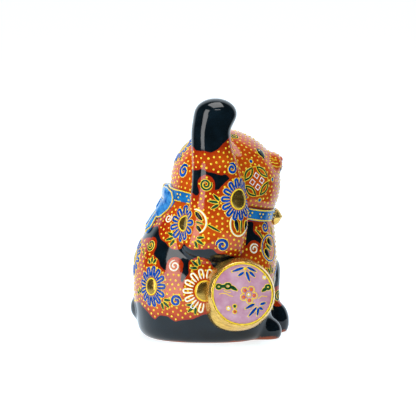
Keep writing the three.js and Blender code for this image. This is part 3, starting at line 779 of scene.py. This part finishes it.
def hand_shaped(place, normal):
    """A point of the barrel, drawn in on its left and swollen low on its left, away from its mouth."""
    off = place - disc.place
    behind = -off.dot(disc.normal) / MM
    angle = math.degrees(math.atan2(off.dot(disc.up), off.dot(disc.right))) % 360
    gain = sum(amount * math.exp(-((angle - middle) / spread) ** 2)
               for amount, middle, spread in (BARREL_HOLLOW, BARREL_SWELL))
    share = clipped((behind - BARREL_MOUTH[0]) / (BARREL_MOUTH[1] - BARREL_MOUTH[0]))
    return place + (off + disc.normal * behind * MM) * gain * share * share * (3 - 2 * share)


refined("mallet_barrel", *BARREL_NET, barrel_gold, "gilding", hand_shaped)

# The side that the photo shows, placed by its pixels, and its mirror image where both sides match

FLOWERS_SEEN = (  # pixel, heart, reach, petals, breadth, and whether it keeps to one casting
    (151, 286.5, 4.9, 12, 13, 0.8, False), (184.4, 223.4, 4.6, 11, 11, 0.85, False),
    (238.9, 199.3, 6, 12.6, 14, 0.82, True),
)
WHITE_FLOWER = 205.4, 291
SWIRLS_SEEN = (  # pixel, enamel, radius, hand and start
    (183.6, 171, "cobalt", 4.1, 1, 40), (232, 168.6, "cobalt", 3.3, -1, 120),
    (176, 301, "cobalt", 3.4, 1, 0), (222.4, 245.4, "cobalt", 3.8, -1, 180),
    (264.8, 227, "cobalt", 3.2, -1, 100), (205.8, 184.4, "green", 3.8, -1, 20),
    (151, 245.3, "green", 3.4, 1, 180), (277.6, 296, "green", 3.4, 1, 0),
    (234.5, 136.3, "green", 2.8, 1, 90), (168.8, 218.3, "white", 2.9, -1, 60),
    (174.6, 266, "white", 3.6, 1, 90), (254.2, 249, "white", 3.4, 1, 30),
)
SPRIGS_SEEN = (  # pixel, way and length
    (221.5, 203, 172, 7), (194, 238, -35, 6), (176.5, 237, 195, 6.5), (151.5, 266, 90, 5),
    (200.5, 268.5, 138, 6), (161, 299.5, -43, 6), (196.5, 304.5, 222, 6), (140.5, 296, 100, 4.5),
    (271, 276, 95, 6),
)
BLADES_SEEN = (  # pixel, angle, length and bend
    (143.5, 247.5, -62, 7, 0.1), (255, 229.5, -25, 10, -0.4), (180, 161, 95, 4.5, 0),
    (272, 236, 100, 7, 0.1),
)
HALF_WHEELS = (  # pixel, breadth, radius, start, sweep and width
    (195.3, 221.5, 0.95, 7.5, -70, 165, 0.95), (239.7, 223, 0.74, 8.2, -205, 205, 0.8),
)
HALF_WHEEL_LEAVES = (  # foot, tip, enamel and width
    (207.6, 224.8, 220.2, 231.8, "green", 1.7), (195.6, 212, 202.2, 220.3, "black", 3.0),
    (196.8, 225.6, 201.3, 232.2, "black", 2.5), (196, 221.8, 203.6, 224.2, "green", 1.4),
    (235.6, 219.6, 237.6, 231.2, "black", 3.0), (241.3, 219.6, 240.8, 232, "green", 1.4),
    (245.9, 220.6, 245, 230.6, "black", 3.0),
)
CHEST_WHEEL = 269.5, 248
CHEST_WHEEL_RADIUS = 8
CHEST_WHEEL_LEAVES = (
    (267, 239.2, 271.8, 245, "black", 4.6), (265.6, 244.6, 270.8, 250, "green", 2.2),
    (264.9, 249.4, 269.4, 257.8, "black", 4.4),
)
CHEEK_RING = 257.3, 181.3
CHEEK_RADIUS = 7.4
CHEEK_TURN = 8
EYE_SEEN = 260.6, 153.4
EYE_SLANT = 80
CHEEK_DROPS = (251, 161.3), (272.3, 179.5), (259.6, 200)

for px, py, heart, reach, petals, breadth, one_casting in FLOWERS_SEEN:
    flower = seen(px, py, 6)
    flower.breadth, flower.one_casting = breadth, one_casting
    chrysanthemum(flower, heart, reach, petals=petals)
chrysanthemum(seen(*WHITE_FLOWER, 6), heart=6, reach=13.4, enamel="white", petals=14, width=1.0, gap=1.7)
for px, py, enamel, radius, hand, start in SWIRLS_SEEN:
    swirl(seen(px, py, radius), enamel, radius, hand, start)
for px, py, way, length in SPRIGS_SEEN:
    sprig(seen(px, py, 4), way, length)
for px, py, angle, length, bend in BLADES_SEEN:
    blade(seen(px, py, 4), 0, length, angle, "green", 1.4, bend)
for px, py, breadth, radius, start, sweep, width in HALF_WHEELS:
    half_wheel = seen(px, py, 5)
    half_wheel.breadth = breadth
    wheel(half_wheel, radius, "white", start, sweep, width)
for leaf_ends in HALF_WHEEL_LEAVES:
    leaf_between(*leaf_ends)
for far in (False, True):
    wheel(seen(*CHEST_WHEEL, 6, far=far), CHEST_WHEEL_RADIUS, "cobalt")
    for leaf_ends in CHEST_WHEEL_LEAVES:
        leaf_between(*leaf_ends, far=far)
    seven_jewels(seen(*CHEEK_RING, 6, far=far, turn=-CHEEK_TURN if far else CHEEK_TURN), CHEEK_RADIUS)
    eye(seen(*EYE_SEEN, 3, far=far), EYE_SLANT if far else -EYE_SLANT)
    for place in CHEEK_DROPS:
        drop(seen(*place, 2, far=far), "cobalt", radius=1.1)

# The mallet's face

BAMBOO_LEAVES = (
    (243.7, 267.6, 232.2, 271.6), (243.9, 272, 238, 276.2), (246.2, 271.6, 249.5, 281.4),
    (249.3, 271.6, 254.9, 277), (247.2, 267.2, 256.3, 271.7), (254.5, 303.9, 245.4, 308.6),
    (256.6, 307.3, 248.6, 316.3), (258.3, 308, 257.2, 315.8), (259, 307.6, 263, 309.6),
    (260, 304.4, 265.8, 302.8),
)
BAMBOO_KNOT = 245.2, 268.9
PINE_TUFTS = (218.7, 286.7, 1.2), (227.8, 286.2, 1.5), (267.8, 287.2, 1.2)
PINE_TWIGS = (220.6, 286.4, 226, 286), (229.8, 286, 237.2, 290.4), (266.5, 288.2, 261.8, 291.4)
PINE_GROUND = (
    ((219, 294.3), (222, 293.2), (226, 293.6), (229.5, 295.6), (233, 296.4)),
    ((223.5, 290.4), (227, 292), (231, 292.4)),
    ((258, 298.6), (262, 296), (267, 296.6)),
)
PLUM_SEEN = 248.7, 294.6
FACE_DROPS = (
    (228.6, 308.3, "white"), (234.8, 306.2, "green"), (234.8, 311.6, "coral"), (264.6, 277.2, "white"),
)
FACE_RIM = 0.985, 1.035

for leaf_ends in BAMBOO_LEAVES:
    leaf_between(*leaf_ends, "cobalt", width=2.1, surface=mallet_face)
cabochon(seen(*BAMBOO_KNOT, 2, surface=mallet_face), 0, radius=1.1, enamel="yellow", height=0.4)
for px, py, radius in PINE_TUFTS:
    tuft = [complex(1.2 * mark.real, mark.imag) for mark in ring(radius, points=12)]
    outlined(seen(px, py, 3, surface=mallet_face), tuft, "green", width=1.6, closed=True, border=LEAF_BORDER)
for leaf_ends in PINE_TWIGS:
    leaf_between(*leaf_ends, "green", width=2.5, surface=mallet_face)
for line in PINE_GROUND:
    spots = [seen(*place, 2, surface=mallet_face) for place in line]
    trail("mallet_face", [(spot.place, spot.normal) for spot in spots], "yellow", width=0.5, height=0.25)
plum(seen(*PLUM_SEEN, 3, surface=mallet_face), size=3.5, start=62)
for px, py, enamel in FACE_DROPS:
    drop(seen(px, py, 2, surface=mallet_face), enamel)
mallet = Surface(*copied("mallet_face", "mallet_barrel"))
mallet_mouth = Spot(mallet, disc.place, disc.normal, "mallet_barrel", UPRIGHT)
rim_line = []
for mark in disc_rim:
    (inside, normal), (outside, _) = (mallet_mouth.lay(share * mark) for share in FACE_RIM)
    rim_line.append(((inside + outside) / 2, normal))
trail("mallet_barrel", rim_line, "yellow", width=0.85, height=0.42, closed=True)

# Collar and bow: yellow lines along their edges, and dots in threes

COLLAR_LINES = 3.1, -3.1
COLLAR_X = 6
COLLAR_SLICE = 3
COLLAR_ENDS = -90, 271
LINE_STEP = 4
TRIPLET_ENDS = -86, 270
TRIPLET_STEP = 14
TRIPLET = (-2.2, 1), (2.2, 1), (0, -1)
BOW_WAY = Vector((-1, 0, 0.3))
BOW_INSET = 0.95


def collar_spot(azimuth, rise):
    """A place on the collar at a rise, in mm, above the middle of its width."""
    points = np.array(collar.points)
    angles = np.degrees(np.arctan2(points[:, 1], points[:, 0] - COLLAR_X * MM))
    near = points[np.abs((angles - azimuth + 180) % 360 - 180) < COLLAR_SLICE, 2] / MM
    if not len(near):
        return None
    out = level_way(azimuth)
    level = Vector((COLLAR_X, 0, (near.min() + near.max()) / 2 + rise)) * MM
    return collar.cast(level + out * FAR_OUT, -out)


for rise in COLLAR_LINES:
    laid = [collar_spot(azimuth, rise) for azimuth in range(*COLLAR_ENDS, LINE_STEP)]
    trail("collar_band", [place and place[:2] for place in laid], "yellow", width=0.9, height=0.35)
for azimuth in range(*TRIPLET_ENDS, TRIPLET_STEP):
    for turn, rise in TRIPLET:
        hit = collar_spot(azimuth + turn, rise)
        if hit:
            cabochon(Spot(collar, *hit, UPRIGHT), 0, radius=0.6, enamel="yellow", height=0.4)
for node in BOW_NODES[1:]:
    spot, hull = facing(bow[node], node, BOW_WAY)
    stroke(spot, [BOW_INSET * mark for mark in hull], "yellow", width=0.75, height=0.35, closed=True)

# Nose, mouth and whisker dashes

NOSE_HEIGHT = 110
NOSE_HALF = 2.2
MOUTH_HEIGHT = 105
LIP = ring(2.4, 2.4, 180, 170, 8)
WHISKERS = (271, 158.5), (274.5, 160), (272, 162.5), (276, 163.3), (273.5, 166), (277, 166.8)
WHISKER_LINE = -1.7, 0, 1.7

cabochon(round_about(0, NOSE_HEIGHT, 2), 0, NOSE_HALF, "coral", height=0.7, stretch=0.7)
mouth = round_about(0, MOUTH_HEIGHT, 2)
for hand in (-1, 1):
    stroke(mouth, [complex(hand * mark.real, mark.imag) for mark in LIP], "black", width=0.7, height=0.25)
for place in WHISKERS:
    for far in (False, True):
        stroke(seen(*place, 1, far=far), WHISKER_LINE, "yellow", width=0.55, height=0.25)

# The sides that the photo doesn't show, placed by azimuth and by height in mm

FLOWERS_HIDDEN = (  # place, heart and reach
    (97.9, 62, 4.8, 11.5), (142.6, 36, 4.8, 11.5), (60.3, 34, 4.6, 10.5), (183.8, 49, 4.6, 11),
    (-7, 34, 4.4, 10),
)
HEAD_FLOWERS = (180, 117), (118, 108)
SWIRLS_HIDDEN = (  # place, enamel, radius and hand
    (70, 70, "cobalt", 3.8, 1), (116, 46, "green", 3.6, -1), (120, 77, "white", 3.6, 1),
    (152, 70, "cobalt", 3.6, -1), (44, 62, "white", 3.4, 1), (98, 30, "cobalt", 3.6, -1),
    (168, 33, "green", 3.4, 1), (152, 54, "white", 3.2, -1),
)
HEAD_SWIRLS = (152, 103, "green", 1), (150, 122, "white", -1), (82, 104, "cobalt", -1)
SPRIGS_HIDDEN = (  # place and way
    (80, 46, 250), (118, 62, 0), (84, 77, 100), (116, 30, 160), (46, 47, 110), (158, 42, 30),
    (172, 64, 160),
)
WHEEL_HIDDEN = 136, 60
WHEEL_LEAVES = (-0.45, "black", 0.45), (0, "green", 0.2), (0.45, "black", 0.45)
HEAD_X = 8

for azimuth, height, heart, reach in FLOWERS_HIDDEN:
    chrysanthemum(round_about(azimuth, height, 6), heart, reach)
for azimuth, height in HEAD_FLOWERS:
    chrysanthemum(round_about(azimuth, height, 6, HEAD_X), heart=4.4, reach=10.5)
for azimuth, height, enamel, radius, hand in SWIRLS_HIDDEN:
    swirl(round_about(azimuth, height, radius), enamel, radius, hand, azimuth)
for azimuth, height, enamel, hand in HEAD_SWIRLS:
    swirl(round_about(azimuth, height, 3, HEAD_X), enamel, radius=3.4, hand=hand, start=azimuth)
for azimuth, height, way in SPRIGS_HIDDEN:
    sprig(round_about(azimuth, height, 4), way)
wheel(round_about(*WHEEL_HIDDEN, 5), radius=6.4, enamel="white", leaves=WHEEL_LEAVES)

# Painted patches: brushed in black, kept off the clearings, all as one distance to the patch's edge

FAR_OFF = 20.0
DEEP_BLACK = -5
AWAY_LIMIT = 0.6
PAW_LINE = 125
PAW_SLOPE = 0.38
WRAP = 14
WAVER = 1.4
WAVER_GROWTH = 5
WAVER_WAY = 0.5, 0.7, 0.3
PATCH_ROUNDS = 6
ELBOW_LINE = 54
PATCHES = (
    ("raised_arm", (
        (185, 90), (245, 90), (245, 130), (230, 131), (229.3, 137.5), (227, 139.7), (225, 142),
        (221.5, 144.5), (219.5, 147.7), (216.5, 150), (213.5, 152), (211.5, 152.7), (203.5, 150.5),
        (199, 151), (195.5, 150.5), (193.5, 146), (185, 146),
    )),
    ("raised_arm", (
        (190, 170), (198, 170.5), (200.5, 169), (204, 169.5), (206, 171.5), (211.5, 172.3), (215, 173),
        (219.5, 175.4), (222.5, 175.5), (224.5, 174), (228, 175), (231, 177.6), (229.5, 180.3),
        (228, 183), (224, 185.5), (221.5, 189), (220.5, 193.5), (218, 195), (214, 194), (212.2, 191),
        (214, 188.5), (215, 185.2), (213, 181.5), (209, 178.5), (204.5, 178.5), (200.5, 180.5),
        (198.5, 184), (199, 188), (199.5, 191.5), (198.5, 195), (195.5, 195.5), (193.5, 193),
        (190, 193),
    )),
    ("raised_arm", (
        (170, 243), (180.5, 243.2), (183, 244.2), (186.4, 243.6), (191.8, 245), (194.5, 247.3),
        (199, 249.5), (205.5, 249.5), (211, 248.8), (214.5, 250), (216.4, 253.2), (219, 254.2),
        (224.5, 253.4), (229, 255.5), (233, 256.5), (245, 262), (245, 290), (170, 290),
    )),
    ("body_shell", (
        (146.5, 229), (158.3, 226), (158.5, 230.5), (159.3, 236), (160.7, 239.3), (163.5, 241.5),
        (167.3, 243.3), (171.8, 247.2), (175.3, 247.8), (177, 244.7), (178.6, 242.2), (185, 240),
        (205, 244), (232, 250), (232, 256), (218, 264.5), (209.5, 272.4), (206.9, 269.2), (203.6, 265),
        (201.3, 261.5), (197.6, 258.4), (191.7, 257.6), (189, 260), (188.2, 263.6), (188.6, 267.2),
        (190.6, 269.5), (191.7, 271.9), (189.3, 275), (188.1, 278.1), (186.9, 281.5), (184.5, 284),
        (181.4, 283.1), (180.2, 280.3), (181, 275.5), (182.8, 271), (182.8, 266.5), (181, 262.6),
        (178.3, 259.6), (174.5, 257.6), (170.5, 258.5), (168.1, 261.2), (167.2, 264.7), (167.9, 268.8),
        (167.4, 271.9), (164.5, 271.5), (163.1, 268.6), (160.5, 266.7), (158.6, 263.3), (155.8, 258.6),
        (153.5, 253.8), (155.5, 249), (156.5, 243.8), (154.2, 239.7), (150.5, 237.3), (146, 238),
    )),
    ("body_shell", (
        (240, 221.5), (255, 222), (253, 226), (252.5, 231), (255.5, 234), (259, 236.5), (261.5, 240),
        (261.5, 244.5), (259.5, 245.5), (257.5, 243), (255, 241), (252, 241.5), (250, 244.5),
        (248.5, 246), (244, 246), (240, 240),
    )),
)
LEFT_PATCHES = (
    ("body_shell", (
        (238, 215), (246, 211), (255, 212), (262, 216), (263, 222), (258, 226), (254, 231), (253, 238),
        (248, 243), (242, 241), (240, 235), (243, 229), (240, 222),
    )),
    ("body_shell", (
        (222, 275), (227, 281), (222, 290), (212, 293), (207, 299), (198, 301), (190, 297), (184, 291),
        (177, 288), (174, 281), (181, 277), (192, 275), (203, 278), (213, 274),
    )),
    ("body_shell", (
        (186, 207), (200, 203), (214, 206), (227, 212), (224, 219), (216, 221), (210, 227), (202, 223),
        (196, 226), (190, 220), (184, 216),
    )),
    ("body_shell", (
        (140, 229), (150, 226), (158, 224), (165, 228), (170, 236), (167, 244), (160, 241), (152, 237),
        (144, 240),
    )),
)
FOREPAW_PATCH = 277.6, 296, 6.8
LEG_X = 30
LEG_Y = 13
LEG_DOME = 37
LEG_HALF = 10
BAND_SEEN = (
    (140, 302), (142, 306), (147, 311), (150, 315), (155, 320), (157.7, 316.8), (161, 315.5),
    (168, 316.2), (171.4, 319.5), (175.5, 321.9), (180, 320.5), (187, 320), (194, 319), (199, 316.7),
    (205, 314), (208, 315), (211, 319), (213, 323),
)
BAND_HIDDEN = (
    (-60, 15), (-45, 18), (-30, 15.5), (-15, 19), (0, 14), (12, 17), (22, 14), (31, 19), (41, 20.5),
    (50, 16), (60, 14), (69, 15), (78, 19.5), (90, 21), (99, 16.5), (107, 13.5), (117, 15), (127, 19),
    (137, 21.5), (147, 18), (158, 15),
)


def outline_distance(places, outline):
    """Distance in pixels of each place in the picture to an outline, negative inside it."""
    best, inside = np.full(len(places), np.inf), np.zeros(len(places), bool)
    corners = np.array(outline)
    for start, end in zip(corners, np.roll(corners, -1, axis=0)):
        run = end - start
        share = np.clip((places - start) @ run / (run @ run), 0, 1)
        best = np.minimum(best, np.linalg.norm(places - start - share[:, None] * run, axis=1))
        level = (places[:, 1] - start[1]) / (run[1] or 1)
        passed = (start[1] > places[:, 1]) != (end[1] > places[:, 1])
        inside ^= passed & (places[:, 0] < start[0] + level * run[0])
    return np.where(inside, -best, best)


def in_picture(points):
    """The photo's pixel that shows each point."""
    from_camera = points - np.array(camera.location)
    scale = PIXEL * (from_camera @ np.array(look)) / CAMERA_AWAY
    off = np.stack([from_camera[:, 0], -from_camera @ np.array(picture_up)], 1)
    return PHOTO_SIDE / 2 + off / scale[:, None]


def band_top(points):
    """How high the black band round the foot reaches at each point's azimuth, in mm."""
    spots = [seen(*place).place / MM for place in BAND_SEEN]
    band = [(math.degrees(math.atan2(y, x)), z) for x, y, z in spots] + list(BAND_HIDDEN)
    azimuths, tops = np.array(sorted(band)).T
    azimuth = np.degrees(np.arctan2(points[:, 1], points[:, 0]))
    return np.interp(azimuth, azimuths, tops, period=360)


def paint_patches():
    """Writes on the skin how far each point is from the nearest patch, in mm and negative in the black."""
    points, normals = np.array([v.co for v in skin.verts]), np.array([v.normal for v in skin.verts])
    owner = {v.index: node for face, node in zip(skin.faces, skin_owners) for v in face.verts}
    owner = np.array([owner[k] for k in range(len(points))])
    edge = np.full(len(points), FAR_OFF)
    high = points[:, 2] / MM
    on_body = owner == "body_shell"
    behind_arm = (owner == "raised_arm") & (normals @ np.array(look) > 0)
    wave = np.sin(points @ WAVER_WAY / MM)
    paw_line = PAW_LINE + WAVER * wave + PAW_SLOPE * points[:, 0] / MM
    edge[behind_arm] = np.minimum(paw_line - high, high - ELBOW_LINE)[behind_arm]
    for patches, over in ((PATCHES, (1, 1, 1)), (LEFT_PATCHES, (1, -1, 1))):
        places, away = in_picture(points * over), normals @ (np.array(look) * over)
        for node, outline in patches:
            there = (away < AWAY_LIMIT) & (owner == node)
            off = outline_distance(places[there], outline) * PIXEL / MM
            hidden = np.maximum(away[there], 0)
            off += WRAP * hidden + WAVER * np.minimum(WAVER_GROWTH * hidden, 1) * wave[there]
            edge[there] = np.minimum(edge[there], off)
    for place, radius in clearings:
        off = np.linalg.norm(points - np.array(place), axis=1) / MM
        edge = np.maximum(edge, np.minimum(radius - off, FAR_OFF))
    edge[np.isin(owner, BLACK_NODES)] = DEEP_BLACK
    from_leg = np.hypot(points[:, 1] / MM - LEG_Y, np.maximum(high - LEG_DOME, 0)) - LEG_HALF
    by_leg = on_body & (points[:, 0] > LEG_X * MM)
    edge[by_leg] = np.minimum(edge, from_leg)[by_leg]
    off = np.linalg.norm(points - np.array(seen(*FOREPAW_PATCH[:2]).place), axis=1) / MM
    edge = np.maximum(edge, FOREPAW_PATCH[2] - off)
    edge[on_body] = np.minimum(edge, high - band_top(points))[on_body]
    links = np.array([[v.index for v in e.verts] for e in skin.edges])
    edge = relaxed(edge[:, None], links, PATCH_ROUNDS)[:, 0]
    layer = skin.verts.layers.float.new(PATCH)
    for vert, value in zip(skin.verts, edge):
        vert[layer] = value
    return edge


patch_edge = paint_patches()

# Rows of yellow dots over the red ground

DOT_NODES = "body_shell", "head_shell", "raised_arm", "right_ear", "left_ear"
DOT_PITCH = 3.1 * MM
DOT_RADIUS = 0.7 * MM
DOT_FLATNESS = 0.42
DOT_SIZES = 0.85, 1.15
DOT_SEED = 7
DOT_CLEAR = 1.35 * MM
DOT_FROM_PATCH = 1.0
PIECE_CLEAR = 1.6 * MM
others, _ = copied(*(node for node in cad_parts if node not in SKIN_NODES))
others = BVHTree.FromBMesh(others)


def dot_places():
    """Places for the dots, row over row, clear of the motifs, the patches and the other pieces."""
    motifs = KDTree(len(taken))
    for k, place in enumerate(taken):
        motifs.insert(place, k)
    motifs.balance()
    wanted = []
    for face, node in zip(skin.faces, skin_owners):
        if node in DOT_NODES and min(patch_edge[v.index] for v in face.verts) > DOT_FROM_PATCH:
            place = face.calc_center_median()
            if motifs.find(place)[2] > DOT_CLEAR and others.find_nearest(place, PIECE_CLEAR)[0] is None:
                wanted.append((place.z, place, face.normal, node))
    cells, chosen = {}, []
    for _, place, normal, node in sorted(wanted, key=lambda w: w[0]):
        cell = tuple(int(c // DOT_PITCH) for c in place)
        around = itertools.product(*((c - 1, c, c + 1) for c in cell))
        if all((place - other).length > DOT_PITCH for c in around for other in cells.get(c, ())):
            cells.setdefault(cell, []).append(place)
            chosen.append((place, normal, node))
    return chosen


def make_dots():
    """Sets a bead of yellow enamel, a little smaller or larger, on each place."""
    seeded = random.Random(DOT_SEED)
    blank = bmesh.new()
    bmesh.ops.create_uvsphere(blank, u_segments=8, v_segments=4, radius=DOT_RADIUS)
    bead = from_bmesh(blank, "bead")
    beads = {node: bmesh.new() for node in DOT_NODES}
    for place, normal, node in dot_places():
        size = seeded.uniform(*DOT_SIZES)
        turn = normal.to_track_quat("Z", "Y").to_matrix().to_4x4()
        one = bead.copy()
        flat = Matrix.Diagonal((size, size, DOT_FLATNESS * size, 1))
        one.transform(Matrix.Translation(place) @ turn @ flat)
        beads[node].from_mesh(one)
        bpy.data.meshes.remove(one)
    for node, bm in beads.items():
        make_piece(f"{node}_dots", from_bmesh(bm, f"{node}_dots"), enamels["yellow"], None)


make_dots()

# The painted pieces


def lay_enamel():
    """Makes one piece of each enamel on each of the castings."""
    for (owner, enamel), bm in enamel_work.items():
        make_piece(f"{owner}_{enamel}_enamel", from_bmesh(bm, enamel), enamels[enamel], None)


lay_enamel()


def split_skin():
    """Cuts the skin where one casting meets the next, and gives each piece its wall."""
    for node in SKIN_NODES:
        bm = skin.copy()
        bm.faces.ensure_lookup_table()
        spare = [face for face, owner in zip(bm.faces, skin_owners) if owner != node]
        bmesh.ops.delete(bm, geom=spare, context="FACES")
        bmesh.ops.solidify(bm, geom=bm.faces, thickness=GLAZE_WALL)
        slot = "glaze_black" if node in BLACK_NODES else "glaze_red"
        make_piece(f"{node}_glazed", from_bmesh(bm, node), skin_material, slot, node)


split_skin()

# Floor and light: a pale room, bright behind the cat and dim in front, and three soft lamps, in m and W

FLOOR_SIDE = 30.0
FLOOR_DROP = 0.05 * MM
NEAR_FLOOR = 0.19, 0.42
LIGHTS = (
    ("overhead", (0.05, -0.1, 1.25), (0, 0, 0.06), 0.9, 0.85, 12.5),
    ("window", (-0.62, -0.62, 0.34), (0, 0, 0.1), 0.36, 0.95, 6),
    ("strip", (0.14, -0.8, 0.92), (0, 0, 0.12), 0.42, 0.05, 0.9),
)
ROOM_TINT = 0.84, 0.96, 1.06
ROOM_FRONT = 0.05
ROOM_BACK = 1.4
ROOM_EDGE = 0.4
ROOM_SHARPNESS = 5.0
FLOOR_PAINT = 0.3, 0.46, 0.6
FLOOR_GLOW = 0.8


def make_floor(name, bm, paint):
    """Puts a floor under the cat."""
    floor = bpy.data.objects.new(name, from_bmesh(bm, name))
    floor.data.materials.append(paint)
    scene.collection.objects.link(floor)
    return floor


def make_stage():
    """Lays a floor of which only the near part shows in the glaze, hangs the lamps and lights the room."""
    paint = Finish("pale_floor").done(Base_Color=FLOOR_PAINT, Roughness=0.7, Emission_Color=(1.0, 1.0, 1.0),
                                      Emission_Strength=FLOOR_GLOW)
    near, wide = bmesh.new(), bmesh.new()
    oval = Matrix.Diagonal((*NEAR_FLOOR, 1, 1))
    bmesh.ops.create_circle(near, cap_ends=True, segments=64, radius=1, matrix=oval)
    make_floor("near_floor", near, paint)
    bmesh.ops.create_grid(wide, x_segments=1, y_segments=1, size=FLOOR_SIDE / 2,
                          matrix=Matrix.Translation((0, 0, -FLOOR_DROP)))
    make_floor("floor", wide, paint).visible_glossy = False
    for name, place, aim, width, height, power in LIGHTS:
        lamp = bpy.data.lights.new(name, "AREA")
        lamp.shape, lamp.size, lamp.size_y, lamp.energy = "RECTANGLE", width, height, power
        light = bpy.data.objects.new(name, lamp)
        light.location = place
        light.rotation_euler = (Vector(aim) - Vector(place)).to_track_quat("-Z", "Y").to_euler()
        light.visible_camera = False
        scene.collection.objects.link(light)
    world = bpy.data.worlds.new("studio")
    world.use_nodes = True
    scene.world = world
    tree = world.node_tree
    way = add(tree, "ShaderNodeTexCoord", {}, {}, out="Generated")
    depth = add(tree, "ShaderNodeSeparateXYZ", {}, {0: way}, out=1)
    behind = ((depth - ROOM_EDGE) * ROOM_SHARPNESS).limited()
    camera_ray = add(tree, "ShaderNodeLightPath", {}, {}, out="Is Camera Ray")
    strength = camera_ray + (1 - camera_ray) * (ROOM_FRONT + behind * (ROOM_BACK - ROOM_FRONT))
    sky = tree.nodes["Background"].inputs
    colour = add(tree, "ShaderNodeMix", {"data_type": "RGBA"},
                 {"Factor": camera_ray, 6: (*ROOM_TINT, 1), 7: (1, 1, 1, 1)}, out=2)
    tree.links.new(colour.socket, sky["Color"])
    tree.links.new(strength.socket, sky["Strength"])


make_stage()
scene.view_settings.view_transform = "Standard"
